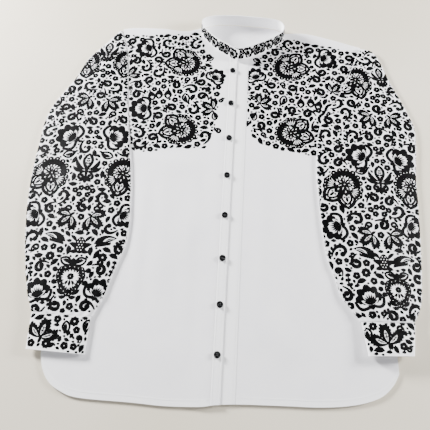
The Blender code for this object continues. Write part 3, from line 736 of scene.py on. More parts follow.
def make_body():
    """The back with its turned shoulders, the two fronts and the bands of the opening."""
    made = {}
    for side, outline in FRONTS.items():
        name = f"{side}_front"
        made[name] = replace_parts(cut_panel(f"{name}_cloth", outline, body_top), name)
    right, left = shoulder_rows(SHOULDER_RIGHT), shoulder_rows(SHOULDER_LEFT)
    sides = [edge(RIGHT_SIDE) + [1.5, 0], edge(LEFT_SIDE) - [1.5, 0]]
    sides = [s[s[:, 1] < limit] for s, limit in zip(sides, (right[0, 1] - 6, left[-1, 1] - 6))]
    tops = [np.column_stack([r[:, 0], r[:, 1] - TURN_RADIUS]) for r in (left, right)]
    neck = neck_between(right[-1, 0] + 3, left[0, 0] - 3, False)
    hem = hem_between(HEM_RIGHT, HEM_LEFT) + [0, 1.5]
    outline = np.vstack([sides[0][::-1], hem, sides[1], tops[0][::-1], neck[::-1], tops[1][::-1]])
    back = cut_panel("back_cloth", outline, lambda x, y: np.full(len(x), 0.02), up=False)
    strips = [make_shoulder(name, rows) for name, rows in (("right", right), ("left", left))]
    made["back"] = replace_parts(back, "back")
    for name, low, high, level in (
        ("overlap_band", OVERLAP_LEFT, OVERLAP_RIGHT, ON_UNDERLAP_Z),
        ("underlap_band", UNDERLAP_LEFT, UNDERLAP_RIGHT, FRONT_Z),
    ):
        made[name] = make_band(name, low, high, level + DOUBLE)
    for thing in list(made.values()) + strips:
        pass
    return made, strips


def make_shoulder(side, rows):
    """The back's edge, turned over a shoulder to the forward seam."""
    angles = np.linspace(0, math.pi, 10)
    turn = np.column_stack([TURN_RADIUS * np.sin(angles), TURN_RADIUS * (1 - np.cos(angles))])
    lines = []
    for x, fold, seam in rows:
        start = fold - TURN_RADIUS
        flat = np.linspace(start, seam + GAP, 5)[1:]
        lines.append([(x, start + a, b) for a, b in turn] + [(x, y, 2 * TURN_RADIUS) for y in flat])
    points = np.array(lines).reshape(-1, 3)
    faces = grid_faces(len(lines), len(lines[0]))
    middle = points * [1, 1, 0] + [0, -2, TURN_RADIUS]
    faces = outward(points, faces, middle[faces[:, 0]])
    cloth_map = points[faces.ravel()][:, :2]
    return thicken(cotton_piece(f"{side}_shoulder_cloth", points, faces, cloth_map, 0.0), SHELL)


def make_band(name, low, high, top):
    """One doubled band, rounded down a little at its long edges."""
    across = np.concatenate([[0, 0.15, 0.5], np.linspace(1.2, high - low - 1.2, 8)])
    across = np.concatenate([across, high - low - np.array([0.5, 0.15, 0])])
    shares = np.linspace(0, 1, 90)
    away = np.minimum(across, high - low - across)
    drop = 0.5 * (1 - np.sqrt(np.clip(away / 1.2, 0, 1)))
    x = low + across
    points = np.array([
        [(a, hem_height(a) + (neck_height(a) - hem_height(a)) * s, top - d) for a, d in zip(x, drop)]
        for s in shares
    ]).reshape(-1, 3)
    faces = grid_faces(len(shares), len(across))
    made = cotton_piece(f"{name}_cloth", points, faces, points[faces.ravel()][:, :2], 1.0)
    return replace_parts(thicken(made, DOUBLE_SHELL), name)


def make_collar(cloth):
    """The upright collar band."""
    along = np.linspace(0, COLLAR.long, 300)
    up = np.concatenate([[0, 0.3, 1.0], np.linspace(2.5, COLLAR_HEIGHT - 2.5, 10)])
    up = np.concatenate([up, COLLAR_HEIGHT - np.array([1.0, 0.3, 0])])
    a, b = (v.ravel() for v in np.meshgrid(along, up, indexing="ij"))
    points = COLLAR.point(a, b)
    faces = grid_faces(len(along), len(up))
    faces = outward(points, faces, np.array(NECK_MIDDLE))
    made = cotton_piece("collar_cloth", points, faces, np.column_stack([a, b])[faces.ravel()], 1.0)
    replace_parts(thicken(made, DOUBLE_SHELL), "collar_band")
    cloth["collar"] = made


def make_sleeves_and_cuffs(cloth):
    """Both sleeves and both cuffs."""
    for side in ("right", "left"):
        for part, skin, rows, thickness in (
            ("sleeve", SLEEVES[side], 150, SHELL), ("cuff", CUFFS[side], 16, DOUBLE_SHELL),
        ):
            cloth[f"{side}_{part}"] = make_tube(f"{side}_{part}", skin, rows, thickness)


def make_button_model():
    """A four-hole button, shaped from a cylinder: a dished face inside a rounded rim."""
    bpy.ops.object.select_all(action="DESELECT")
    middle = (0, 0, BUTTON_THICK * MM / 2)
    bpy.ops.mesh.primitive_cylinder_add(
        vertices=40, radius=BUTTON_RADIUS * MM, depth=BUTTON_THICK * MM, location=middle
    )
    made = bpy.context.object
    bpy.ops.object.transform_apply(location=True)
    bpy.ops.object.mode_set(mode="EDIT")
    bpy.ops.mesh.select_mode(type="FACE")
    bpy.ops.mesh.select_all(action="DESELECT")
    mesh = bmesh.from_edit_mesh(made.data)
    for face in mesh.faces:
        face.select_set(face.normal.z > 0.9)
    bmesh.update_edit_mesh(made.data)
    bpy.ops.mesh.inset(thickness=BUTTON_RIM * MM)
    bpy.ops.mesh.inset(thickness=BUTTON_SLOPE * MM)
    bpy.ops.transform.translate(value=(0, 0, -BUTTON_DISH * MM))
    bpy.ops.object.mode_set(mode="OBJECT")
    for number in range(HOLE_COUNT):
        angle = math.pi / 4 + number * 2 * math.pi / HOLE_COUNT
        place = (HOLE_PLACE * MM * math.cos(angle), HOLE_PLACE * MM * math.sin(angle), 0)
        bpy.ops.object.select_all(action="DESELECT")
        bpy.ops.mesh.primitive_cylinder_add(
            vertices=14, radius=HOLE_RADIUS * MM, depth=12 * MM, location=place
        )
        drill = bpy.context.object
        cut = made.modifiers.new("hole", "BOOLEAN")
        cut.object, cut.operation, cut.solver = drill, "DIFFERENCE", "EXACT"
        select_only(made)
        bpy.ops.object.modifier_apply(modifier=cut.name)
        bpy.data.objects.remove(drill)
    soft = made.modifiers.new("soft_edges", "BEVEL")
    soft.width, soft.segments, soft.limit_method = BUTTON_SOFT * MM, 2, "ANGLE"
    bpy.ops.object.modifier_apply(modifier=soft.name)
    bpy.ops.object.shade_smooth_by_angle(angle=math.radians(35))
    made.data.materials.clear()
    made.data.materials.append(BUTTON)
    return made


def make_buttons():
    """Eight buttons up the overlap band, from one model."""
    model = make_button_model()
    for number in range(BUTTON_COUNT):
        place = (Vector((0, number * BUTTON_PITCH, ON_OVERLAP_Z)) - Vector(CENTRE)) * MM
        made = bpy.data.objects.new(f"shirt_button_{number + 1}", model.data.copy())
        made.data.transform(Matrix.Translation(place))
        bpy.context.scene.collection.objects.link(made)
        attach(made, "root")
        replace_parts(made, f"button_{number + 1}")
    bpy.data.objects.remove(model)


# Embroidery: shapes are drawn flat with complex numbers, x + iy in millimetres


class Sheet:
    """Everything drawn for one area. Even levels are black thread, odd ones white."""

    def __init__(self):
        self.parts, self.marks = [], []

    def add(self, level, spots, rises, cloth, faces):
        self.parts.append((level, spots, rises, cloth, faces))
        self.marks.append(np.concatenate([spots, spots[faces].mean(1)]))

    def gathered(self, white):
        """The points of one thread's stitches, their faces, and a place in the thread for each corner."""
        parts = [part for part in self.parts if part[0] % 2 == int(white)]
        if not parts:
            return None
        starts = np.cumsum([0] + [len(part[1]) for part in parts[:-1]])
        spots = np.concatenate([part[1] for part in parts])
        heights = np.concatenate([LEVEL_RISE * part[0] + RIDGE_RISE * part[2] for part in parts])
        cloth = np.concatenate([part[3] for part in parts])
        faces = np.concatenate([part[4] + start for part, start in zip(parts, starts)])
        a, b, c = spots[faces].T
        area = ((b - a).conjugate() * (c - a)).imag
        faces = np.where(area[:, None] < 0, faces[:, ::-1], faces)[abs(area) > 0.006]
        return np.stack([spots.real, spots.imag, heights], 1), faces, cloth[faces.ravel()]


class Pen:
    """Draws motifs in satin stitch, at a place, a turn and a size."""

    def __init__(self, sheet, origin=0j, spin=1 + 0j, flip=False):
        self.sheet, self.origin, self.spin, self.flip = sheet, origin, spin, flip

    def moved(self, x, y, turn=0.0, size=1.0, flip=False):
        spot, spin = complex(x, y), size * cmath.exp(1j * math.radians(turn))
        if self.flip:
            spot, spin = -spot.conjugate(), spin.conjugate()
        return Pen(self.sheet, self.origin + self.spin * spot, self.spin * spin, self.flip != flip)

    def keep_open(self, spots):
        """Places inside a motif that no filling goes to."""
        spots = np.asarray(spots, complex)
        self.sheet.marks.append(self.origin + self.spin * (-spots.conjugate() if self.flip else spots))

    def put(self, level, spots, rises, cloth, faces):
        spots = self.origin + self.spin * (-spots.conjugate() if self.flip else spots)
        self.sheet.add(level, spots, rises, cloth * abs(self.spin), faces)

    def ribbon(self, line, half, level=0, closed=False):
        """A line of stitches raised along its middle."""
        line = np.asarray(line, complex)
        half = np.broadcast_to(np.asarray(half, float), line.shape)
        more = (-COVERED if level % 2 else SPREAD[level > 0]) / abs(self.spin)
        half = half * (1 + more / max(half.max(), 0.4))
        if closed:
            ahead = np.roll(line, -1) - np.roll(line, 1)
            line, half, ahead = (np.append(v, v[0]) for v in (line, half, ahead))
        else:
            ahead = np.gradient(line)
        side = 1j * ahead / (abs(ahead) + 1e-9) * half
        walked = np.cumsum(abs(np.diff(line, prepend=line[0])))
        spots = np.stack([line + side, line, line - side], axis=1).ravel()
        cloth = np.stack([np.stack([half, 0 * half, -half], 1).ravel(), walked.repeat(3)], axis=1)
        quads = grid_faces(len(line), 3)
        faces = np.concatenate([quads[:, [0, 1, 2]], quads[:, [0, 2, 3]]])
        self.put(level, spots, np.tile([0.0, 1.0, 0.0], len(line)), cloth, faces)

    def fan(self, rim, middle=None):
        """A filled shape, raised inside its rim."""
        rim = np.asarray(rim, complex)
        middle = rim.mean() if middle is None else middle
        count = len(rim)
        spots = np.concatenate([rim, middle + (rim - middle) * 0.72, [middle]])
        here = np.arange(count)
        after = np.roll(here, -1)
        faces = np.concatenate([
            np.stack([here, after, after + count], 1), np.stack([here, after + count, here + count], 1),
            np.stack([here + count, after + count, np.full(count, 2 * count)], 1),
        ])
        rises = np.concatenate([np.zeros(count), np.ones(count + 1)])
        self.put(0, spots, rises, np.stack([spots.real, spots.imag], 1), faces)

    def dot(self, spot, radius, level=0, sides=8):
        radius = radius + (-COVERED if level % 2 else SPREAD[level > 0] * 0.8) / abs(self.spin)
        turn = np.exp(2j * math.pi * np.arange(sides) / sides)
        spots = np.append(spot + radius * turn, spot)
        here = np.arange(sides)
        faces = np.stack([here, np.roll(here, -1), np.full(sides, sides)], 1)
        rises = np.append(np.zeros(sides), 1.0)
        self.put(level, spots, rises, np.stack([spots.real, spots.imag], 1), faces)

    def blade(self, start, tip, half, bend=0.0, level=0, count=7):
        """A leaf-shaped stroke. Bend moves its middle to the left by a share of its length."""
        t = np.linspace(0, 1, count)
        line = start + (tip - start) * (t + 4j * bend * t * (1 - t))
        self.ribbon(line, half * np.sin(math.pi * t**1.15) ** 0.75, level)

    def petal(self, base, tip, half, line, bend=0.0):
        """An outlined petal, open inside."""
        t = np.linspace(0, 1, 10)
        spine = base + (tip - base) * (t + 4j * bend * t * (1 - t))
        side = 1j * (tip - base) / abs(tip - base) * half * np.sin(math.pi * t**1.2) ** 0.8
        self.keep_open(np.concatenate([spine + side * share for share in (-0.5, 0, 0.5)]))
        self.ribbon(np.concatenate([spine + side, (spine - side)[-2:0:-1]]), line, closed=True)

    def curl(self, start, turn, length, wind, half, ball=1.5):
        """A tendril that sets out at a turn and winds up into a ball."""
        line = tendril(start, turn, length, wind)
        t = np.linspace(0, 1, len(line))
        self.ribbon(line, half * np.interp(t, [0, 0.55, 1], [0.35, 1, 0.8]))
        self.dot(line[-1], half * ball)
        return line

    def ring(self, radius, half, sides=10):
        self.ribbon(radius * np.exp(2j * math.pi * np.arange(sides) / sides), half, closed=True)


def polar(radius, degrees):
    """The spot at a distance and an angle from the middle."""
    return radius * cmath.exp(1j * math.radians(degrees))


def tendril(start, turn, length, wind):
    """The line of a curl that sets out at a turn and winds up."""
    t = np.linspace(0, 1, max(9, int(abs(wind) / 26) + 6))
    step = np.exp(1j * np.radians(turn + wind * t**1.9))
    return start + np.concatenate([[0], np.cumsum((step[1:] + step[:-1]) / 2)]) * length / (len(t) - 1)


def rosette(pen, radius=6.2, petals=5, hole=0.25, depth=0.08):
    """A small ring flower with a white eye."""
    count = petals * 4
    angle = np.arange(count) / count * 2 * math.pi
    outer = radius * (1 - depth + depth * np.cos(petals * angle))
    inner = radius * hole
    pen.ribbon(np.exp(1j * angle) * (outer + inner) / 2, (outer - inner) / 2, closed=True)


def star_flower(pen, radius=8.2):
    rosette(pen, radius, petals=8, hole=0.26, depth=0.13)


def carnation(pen):
    """A clove pink from the side: solid scalloped rim, veined white petals, two outlined ones below."""
    base = -15j
    for angle in (2, 44, 90, 136, 178):
        turn = np.linspace(0, 2 * math.pi, 14, endpoint=False)
        reach = 7.6 * (1 + 0.07 * np.cos(3 * (turn - math.radians(angle))))
        pen.fan(polar(16.5, angle) + reach * np.exp(1j * turn) + 1j)
    for angle, length in ((34, 18), (62, 22), (90, 24), (118, 22), (146, 18)):
        foot = base + 3j
        pen.blade(foot, foot + polar(length, angle), 3.2, level=1)
        pen.blade(foot, foot + polar(length * 0.84, angle), 1.2, level=2, count=5)
    for angle in (48, 76, 104, 132):
        pen.blade(base + 3j, base + 3j + polar(20, angle), 1.1, level=2, count=5)
    for side in (-1, 1):
        tip = complex(side * 25, -3)
        pen.petal(base + 2j, tip, 7.2, 2.0, bend=-0.10 * side)
        for share, half in ((0.32, 1.3), (0.56, 1.5)):
            at = base + 2j + (tip - base - 2j) * share
            pen.blade(at, at + complex(side * 7, 4.0), half, count=4)
    pen.blade(base + 5j, base - 6j, 3.0, count=5)


def peony(pen):
    """A wide open rose: scalloped rim with pale dots, hatched bowl, two pointed petals and two fans."""
    for angle in np.linspace(186, 354, 8):
        turn = np.linspace(0, 2 * math.pi, 13, endpoint=False)
        reach = 6.6 * (1 + 0.08 * np.cos(3 * (turn - math.radians(angle))))
        pen.fan(polar(22.6, angle) + reach * np.exp(1j * turn))
    for angle in np.linspace(184, 356, 15):
        pen.dot(polar(25.4, angle), 1.15, level=1, sides=6)
    for number, angle in enumerate(np.linspace(168, 372, 31)):
        inner = (12.6, 9.6, 14.4)[number % 3]
        pen.blade(polar(19.6, angle), polar(inner, angle + 3), 0.95, count=3)
    pen.keep_open([polar(radius, angle) for radius in (0, 5, 9, 13) for angle in range(0, 360, 24)])
    for angle in (-14, 38, 90, 142, 194, 240, 300):
        pen.blade(polar(2.0, angle), polar(13.0, angle), 2.9, 0.06, count=6)
        pen.blade(polar(5.0, angle), polar(10.5, angle), 0.9, 0.06, level=1, count=4)
    pen.ring(2.9, 1.2)
    for angle, length in ((62, 31), (118, 31)):
        petal = pen.moved(0, 0, angle - 90)
        petal.petal(6j, length * 1j + 9j, 12.4, 2.0)
        petal.petal(9j, length * 0.80j + 9j, 7.6, 0.9)
        for side in (-1, 0, 1):
            petal.dot(complex(side * 3.3, 15.0 + (side == 0) * 2.4), 2.6)
        petal.dot(complex(-3.4, 22.0), 1.2, sides=6)
        petal.dot(complex(3.4, 22.0), 1.2, sides=6)
        petal.blade(20j, 31j, 1.5, count=5)
        for side in (-1, 1):
            petal.blade(complex(side * 5.4, 28), complex(side * 2.4, 36), 1.0, count=4)
    for angle in (0, 180):
        foot = polar(12, angle) + 6j
        fan_petal(pen.moved(foot.real, foot.imag, angle - 90))


def fan_petal(pen):
    """A black fan with white blades and a row of white dots."""
    sweep = np.radians(np.linspace(36, 144, 14))
    pen.fan(np.append(-1j, 20 * np.exp(1j * sweep) * (1 + 0.05 * np.cos(9 * sweep))), middle=12j)
    for angle in (52, 71, 90, 109, 128):
        pen.blade(polar(3.5, angle), polar(13.0, angle), 1.0, level=1, count=5)
        pen.dot(polar(16.8, angle), 1.0, level=1, sides=6)


def toothed_leaf(pen, length, half, bend):
    """A toothed leaf, pale and veined inside."""
    pen.blade(0, length * 1j, half, bend)
    teeth = length / 25
    for number in range(4):
        share = 0.38 + 0.15 * number
        bent = 4 * bend * share * (1 - share) * length
        for side in (-1, 1):
            aside = half * math.sin(math.pi * share) ** 0.75 - bent * side
            root = complex(side * max(0.4, aside - 2.0), share * length)
            pen.blade(root, root + teeth * complex(side * 4.4, 4.6), 1.5 * teeth, bend=0.12 * side, count=4)
    pen.blade(length * 0.12j, length * 0.70j, half * 0.44, bend, level=1)
    pen.blade(length * 0.16j, length * 0.66j, 0.5, bend, level=2, count=5)
    for share in (0.3, 0.48):
        for side in (-1, 1):
            tip = complex(side * half * 0.42, length * (share + 0.12))
            pen.blade(share * length * 1j, tip, 0.35, level=2, count=3)


def leaf_triple(pen, spread=56.0, length=27.0):
    """Three toothed leaves from one stalk."""
    for turn, share, bend in ((spread, 0.94, 0.07), (0, 1.0, 0.0), (-spread, 0.94, -0.07)):
        toothed_leaf(pen.moved(0, 0, turn), length * share, 6.2 * share, bend)
    pen.blade(3j, -8j, 1.7, 0.1, count=5)


def veined_leaf(pen, length=20.0):
    """A small outlined leaf with a dark half."""
    pen.petal(0, length * 1j, length * 0.29, min(1.5, length * 0.05), 0.05)
    pen.blade(length * 0.1j, length * 0.85j, length * 0.11, 0.13, count=5)
    pen.blade(2j, -5j, 1.3, 0.15, count=4)


def wing_leaf(pen, length=46.0):
    """A long feathered leaf with a pale inside and a combed edge."""
    pen.blade(0, length * 1j, 7.2, 0.08, count=9)
    pen.blade(length * 0.10j, length * 0.60j, 2.8, 0.10, level=1, count=8)
    pen.blade(length * 0.14j, length * 0.50j, 0.8, 0.12, level=2, count=6)
    for number in range(7):
        root = complex(3.2 - 0.4 * number, length * (0.30 + 0.09 * number))
        pen.blade(root, root + complex(6.2, 6.4), 1.6, -0.1, count=4)
    for number in range(4):
        root = complex(-5.0, length * (0.34 + 0.13 * number))
        pen.blade(root, root + complex(-4.6, 4.8), 1.3, 0.1, count=4)


def scroll(pen):
    """An open scroll with small leaves at its foot."""
    line = pen.curl(0, 90, 40, -320, 2.0, 1.7)
    pen.blade(line[1], line[1] + 7 + 6.5j, 2.1, -0.15, count=5)
    pen.blade(line[4], line[4] + 5.5 + 6.5j, 1.7, -0.15, count=5)
    pen.blade(line[2], line[2] - 5.5 + 3.5j, 1.4, 0.15, count=5)


def snail(pen):
    """A tight coil with two small leaves at its foot."""
    pen.curl(0, 60, 42, 560, 2.2, 1.3)
    pen.blade(0, -6 - 6j, 1.9, 0.2, count=5)
    pen.blade(1j, -7 + 2j, 1.6, -0.15, count=5)


def sprig(pen, length=28.0, pairs=3, half=2.6, lean=0.12):
    """A bent stem with leaflets on both sides."""
    t = np.linspace(0, 1, 8)
    stem = length * 1j * (t + 4j * lean * t * (1 - t))
    pen.ribbon(stem, np.interp(t, [0, 1], [1.5, 0.8]))
    for share in np.linspace(0.22, 0.9, pairs):
        root = length * 1j * (share + 4j * lean * share * (1 - share))
        for side in (-1, 1):
            pen.blade(root, root + polar(8.6 - 2.0 * share, 90 - 52 * side), half, 0.12 * side, count=5)
    pen.blade(stem[-2], stem[-1] + 4.5j, half, count=5)


def bud(pen):
    """A closed bud in its cup."""
    pen.petal(0, 21j, 6.2, 1.5)
    for side in (-1, 1):
        pen.blade(-1j, complex(side * 10.5, 13), 2.3, 0.2 * side, count=6)
        pen.blade(4j, complex(side * 2.6, 14), 0.9, count=4)
    pen.blade(1j, -7j, 1.5, 0.1, count=4)


def cone(pen):
    """A dark seed cone with pale seeds."""
    turn = np.linspace(0, 2 * math.pi, 18, endpoint=False)
    pen.fan(9.0 * np.sin(turn) * (1 - 0.22 * np.cos(turn)) + 13.5j * np.cos(turn))
    for row, count in enumerate((2, 3, 2, 3, 2)):
        for place in range(count):
            pen.dot(complex((place - (count - 1) / 2) * 4.4, -8.0 + 4.2 * row), 1.2, level=1, sides=6)
    for side in (-1, 1):
        pen.blade(-10j, complex(side * 18, 2), 3.4, 0.16 * side)
        pen.blade(-11j, complex(side * 14, -12), 2.6, 0.1 * side)
        pen.blade(4j + side * 6, complex(side * 17, 15), 2.0, 0.1 * side)


def crest(pen):
    """An upright palmette: one tall hatched petal between arching leaves, on a stem with two scrolls."""
    pen.petal(-4j, 24j, 7.0, 1.8)
    for step in range(4):
        for side in (-1, 1):
            tip = complex(side * (4.4 - 0.7 * step), 4.6 + 4.2 * step)
            pen.blade(complex(0, 1 + 4.2 * step), tip, 0.9, count=4)
    for side in (-1, 1):
        half_pen = pen.moved(0, 0, flip=side < 0)
        half_pen.blade(1 - 5j, 19 + 15j, 3.1, -0.20)
        half_pen.blade(1 - 7j, 24 + 2j, 2.8, -0.18)
        half_pen.curl(1 - 9j, -8, 30, -330, 1.8)
        half_pen.blade(1 - 15j, 11 - 26j, 2.3, -0.16)
    pen.ribbon([-5j, -12j, -20j], [2.0, 1.7, 1.3])
    pen.blade(-18j, -30j, 2.6, count=5)


def grand_flower(pen):
    """A heart-shaped flower: dotted rim, hatched inside, a small flower at its heart, leaves above."""
    turn = np.linspace(0, 2 * math.pi, 40, endpoint=False)
    rim = 21.5 * np.sin(turn) * (1 + 0.26 * np.cos(turn)) + 1j * (24 * np.cos(turn) - 3 * np.cos(2 * turn))
    rim = rim * (1 + 0.04 * np.cos(8 * turn))
    pen.keep_open(np.concatenate([rim * share for share in (0, 0.3, 0.6, 0.8)]))
    pen.ribbon(rim, 3.6, closed=True)
    for number, spot in enumerate(rim):
        if number % 2:
            pen.dot(spot * 1.03, 1.1, level=1, sides=6)
        inner = (0.56, 0.70)[number % 2]
        pen.blade(spot * 0.88, spot * inner, 0.8, count=3)
    star_flower(pen.moved(0, 4), 6.0)
    for side in (-1, 1):
        half_pen = pen.moved(0, 0, flip=side < 0)
        half_pen.blade(2 - 3j, 7 - 12j, 1.6, 0.15, count=5)
        veined_leaf(half_pen.moved(2, 25, -62), 24)
        half_pen.curl(24 + 16j, -40, 18, 330, 2.0)
        half_pen.curl(22 - 8j, -30, 17, 300, 1.9)
        half_pen.blade(2 - 27j, 21 - 18j, 3.2, -0.12)
        half_pen.blade(1 - 30j, 16 - 31j, 2.8, -0.2)
    pen.blade(-2j, -14j, 1.6, count=5)
    pen.blade(24j, 39j, 4.2)


class Gaps:
    """How far each place inside an outline is from the nearest stitch, and what fills the gaps."""

    STEP, REACH, EDGE_ROOM = 1.3, 9.5, 1.2
    CURL_ROOM, LEAF_ROOM, LEAFLET_ROOM = 0.5, 0.45, 2.2
    FULL_WINDING = 42

    def __init__(self, sheet, outline, rng, beyond=0.0, axis=None):
        self.pen, self.rng, self.axis, self.seen = Pen(sheet), rng, axis, 0
        outline = np.asarray(outline, float)
        self.low = outline.min(0) - beyond
        wide, high = ((np.ptp(outline, axis=0) + 2 * beyond) / self.STEP).astype(int) + 1
        across, up = np.meshgrid(np.arange(wide), np.arange(high))
        self.places = self.low[0] + across * self.STEP + 1j * (self.low[1] + up * self.STEP)
        deep = depth_inside(outline, self.places.real.ravel(), self.places.imag.ravel()) + beyond
        deep = deep.reshape(high, wide)
        self.room = np.clip(deep + self.EDGE_ROOM, 0, self.REACH) * (deep > 0)
        self.update()

    def update(self):
        """Takes in what has been worked since the last time."""
        near = int(self.REACH / self.STEP)
        for spot in np.concatenate(self.pen.sheet.marks[self.seen:] or [np.zeros(0)]):
            i, j = int((spot.imag - self.low[1]) / self.STEP), int((spot.real - self.low[0]) / self.STEP)
            part = (slice(max(0, i - near), max(0, i + near)), slice(max(0, j - near), max(0, j + near)))
            self.room[part] = np.minimum(self.room[part], abs(self.places[part] - spot))
        self.seen = len(self.pen.sheet.marks)

    def at(self, spots):
        """The room at some places, none outside the outline."""
        i = ((spots.imag - self.low[1]) / self.STEP + 0.5).astype(int)
        j = ((spots.real - self.low[0]) / self.STEP + 0.5).astype(int)
        high, wide = self.room.shape
        inside = (i >= 0) & (j >= 0) & (i < high) & (j < wide)
        return np.where(inside, self.room[np.clip(i, 0, high - 1), np.clip(j, 0, wide - 1)], 0)

    def fitting(self, ways, need):
        """The way, one row of places each, with the most room to spare, and the pens that can work it."""
        spare = (self.at(ways) - need).min(1)
        if self.axis is not None:
            twin = (self.at(2 * self.axis - ways.conjugate()) - need).min(1)
            apart = (abs(ways.real - self.axis) - need).min(1)
            both = np.minimum(np.minimum(spare, twin), apart)
            if both.max() > 0:
                return both.argmax(), (self.pen, self.pen.moved(2 * self.axis, 0, flip=True))
        return (spare.argmax(), (self.pen,)) if spare.max() > 0 else (None, ())

    def seeds(self, least, every):
        """Some of the places with at least this much room, shuffled."""
        found = list(self.places[::every, ::every][self.room[::every, ::every] > least])
        self.rng.shuffle(found)
        return found

    def flowers(self, least, radius, apart=0.0):
        """Ring flowers, set no closer together than apart."""
        placed = []
        for spot in sorted(self.seeds(least, 2), key=lambda s: -float(self.at(np.array(s)))):
            if all(abs(spot - other) > apart for other in placed):
                best, pens = self.fitting(np.array([[spot]]), least)
                for hand in pens:
                    rosette(hand.moved(spot.real, spot.imag, self.rng.uniform(0, 72)), radius)
                if pens:
                    placed += [spot, 2 * (self.axis or 0) - spot.conjugate()]
                    self.update()

    def curls(self, length, half, leaflets):
        """Tendrils that wind through the gaps, with leaflets on their outer side."""
        turns = np.arange(0, 360, 20)
        for spot in self.seeds(half * 0.4 + 1.4, 3):
            wind = self.rng.choice((-340, -250, 250, 340)) * min(1.0, length / self.FULL_WINDING)
            share = np.linspace(0, 1, max(9, int(abs(wind) / 26) + 6))
            need = half * np.interp(share, [0, 0.55, 1], [0.35, 1, 1.2]) + SPREAD[0] + self.CURL_ROOM
            need[0] = 1.2
            ways = spot + np.array([tendril(0, turn, length, wind) for turn in turns])
            best, pens = self.fitting(ways, need)
            if not pens:
                continue
            line, side = ways[best], -math.copysign(1, wind)
            blades = []
            for number in range(leaflets):
                root, ahead = line[1 + 2 * number], line[2 + 2 * number] - line[1 + 2 * number]
                ahead = ahead / abs(ahead)
                tip = root + ahead * cmath.exp(1j * math.radians(44 * side)) * (10.5 - 1.2 * number)
                if min(self.at(np.array([tip + ahead, tip * 0.5 + root * 0.5]))) > self.LEAFLET_ROOM:
                    blades.append((root, tip))
            for hand in pens:
                hand.curl(spot, turns[best], length, wind, half)
                for root, tip in blades:
                    hand.blade(root, tip, 2.1, 0.14 * side, count=5)
            self.update()

    def leaves(self, length, half):
        """Single leaves, each turned to lie along its gap."""
        share = np.linspace(-0.5, 0.5, 5)
        need = half * np.array([0.1, 0.7, 1, 0.7, 0.1]) + SPREAD[0] + self.LEAF_ROOM
        turns = np.exp(1j * np.radians(np.arange(0, 360, 22.5)))
        for spot in self.seeds(half + SPREAD[0] + self.LEAF_ROOM, 2):
            best, pens = self.fitting(spot + turns[:, None] * share * length, need)
            for hand in pens:
                reach = turns[best] * length / 2
                hand.blade(spot - reach, spot + reach, half, self.rng.choice((-0.1, 0.1)), count=5)
            if pens:
                self.update()

    def fill(self):
        """Works tendrils, flowers and leaves into the gaps, the large ones first."""
        for work, *sizes in (
            (self.curls, 50, 2.9, 4), (self.flowers, 7.7, 6.2, 20.0), (self.curls, 38, 2.7, 3),
            (self.leaves, 19, 4.0), (self.curls, 27, 2.3, 2), (self.flowers, 6.8, 5.6),
            (self.leaves, 15, 3.2), (self.curls, 18, 1.9, 1), (self.flowers, 5.3, 4.2),
            (self.leaves, 11, 2.3), (self.leaves, 8, 1.7), (self.leaves, 5.5, 1.1),
        ):
            work(*sizes)


def running_stitch(pen, line):
    """Small stitches along a line, in white thread."""
    line = np.asarray(line, float)
    walked = np.concatenate([[0], np.cumsum(np.hypot(*np.diff(line, axis=0).T))])
    for start in np.arange(STITCH_PITCH / 2, walked[-1] - STITCH_PITCH, STITCH_PITCH):
        at = start + STITCH_LENGTH * np.array([0, 0.5, 1.0])
        spots = np.interp(at, walked, line[:, 0]) + 1j * np.interp(at, walked, line[:, 1])
        pen.ribbon(spots, STITCH_WIDE / 2 * np.array([0.5, 1, 0.5]), level=1)


def nearest_on(outline, x, y):
    """The nearest points of an outline to plan points, moved a little further inwards."""
    a = np.asarray(outline, float)
    run = np.roll(a, -1, axis=0) - a
    dx, dy = x[:, None] - a[:, 0], y[:, None] - a[:, 1]
    along = np.clip((dx * run[:, 0] + dy * run[:, 1]) / ((run**2).sum(1) + 1e-9), 0, 1)
    best = np.hypot(dx - along * run[:, 0], dy - along * run[:, 1]).argmin(1)
    k = np.arange(len(x))
    spot = a[best] + along[k, best][:, None] * run[best]
    inward = spot - np.column_stack([x, y])
    return spot + EDGE_INSET * inward / (np.hypot(*inward.T)[:, None] + 1e-9)


def bend_over(mesh, skin):
    """Takes a flat drawing onto a skin of cloth, and drops what falls outside it."""
    work = bmesh.new()
    work.from_mesh(mesh)
    for _ in range(3):
        long = [side for side in work.edges if side.calc_length() > LONGEST_EDGE]
        if long:
            bmesh.ops.subdivide_edges(work, edges=long, cuts=1)
            bmesh.ops.triangulate(work, faces=[face for face in work.faces if len(face.verts) > 3])
    work.to_mesh(mesh)
    flat = np.empty(len(mesh.vertices) * 3)
    mesh.vertices.foreach_get("co", flat)
    x, y, height = flat.reshape(-1, 3).T
    on, p, q = skin.held(*skin.find(x, y))
    places = skin.point(p, q) + skin.normal(p, q) * (EDGE_RISE + skin.press * height)[:, None]
    mesh.vertices.foreach_set("co", ((places - CENTRE) * MM).ravel())
    work.clear()
    work.from_mesh(mesh)
    off = [face for face in work.faces if not any(on[corner.index] for corner in face.verts)
           or max(side.calc_length() for side in face.edges) > TORN_EDGE * MM]
    bmesh.ops.delete(work, geom=off, context="FACES")
    work.to_mesh(mesh)
    work.free()


def lay(name, sheet, skin):
    """Lays a drawn sheet on a skin of cloth, one piece for each thread."""
    made = []
    for white, look, slot in ((False, BLACK_THREAD, "embroidery"), (True, WHITE_THREAD, "cotton")):
        drawn = sheet.gathered(white)
        if drawn:
            label = f"{name}_{'white' if white else 'black'}_thread"
            mesh = mapped_mesh(label, *drawn)
            bend_over(mesh, skin)
            made.append(sewn_on(label, mesh, look))
    return made


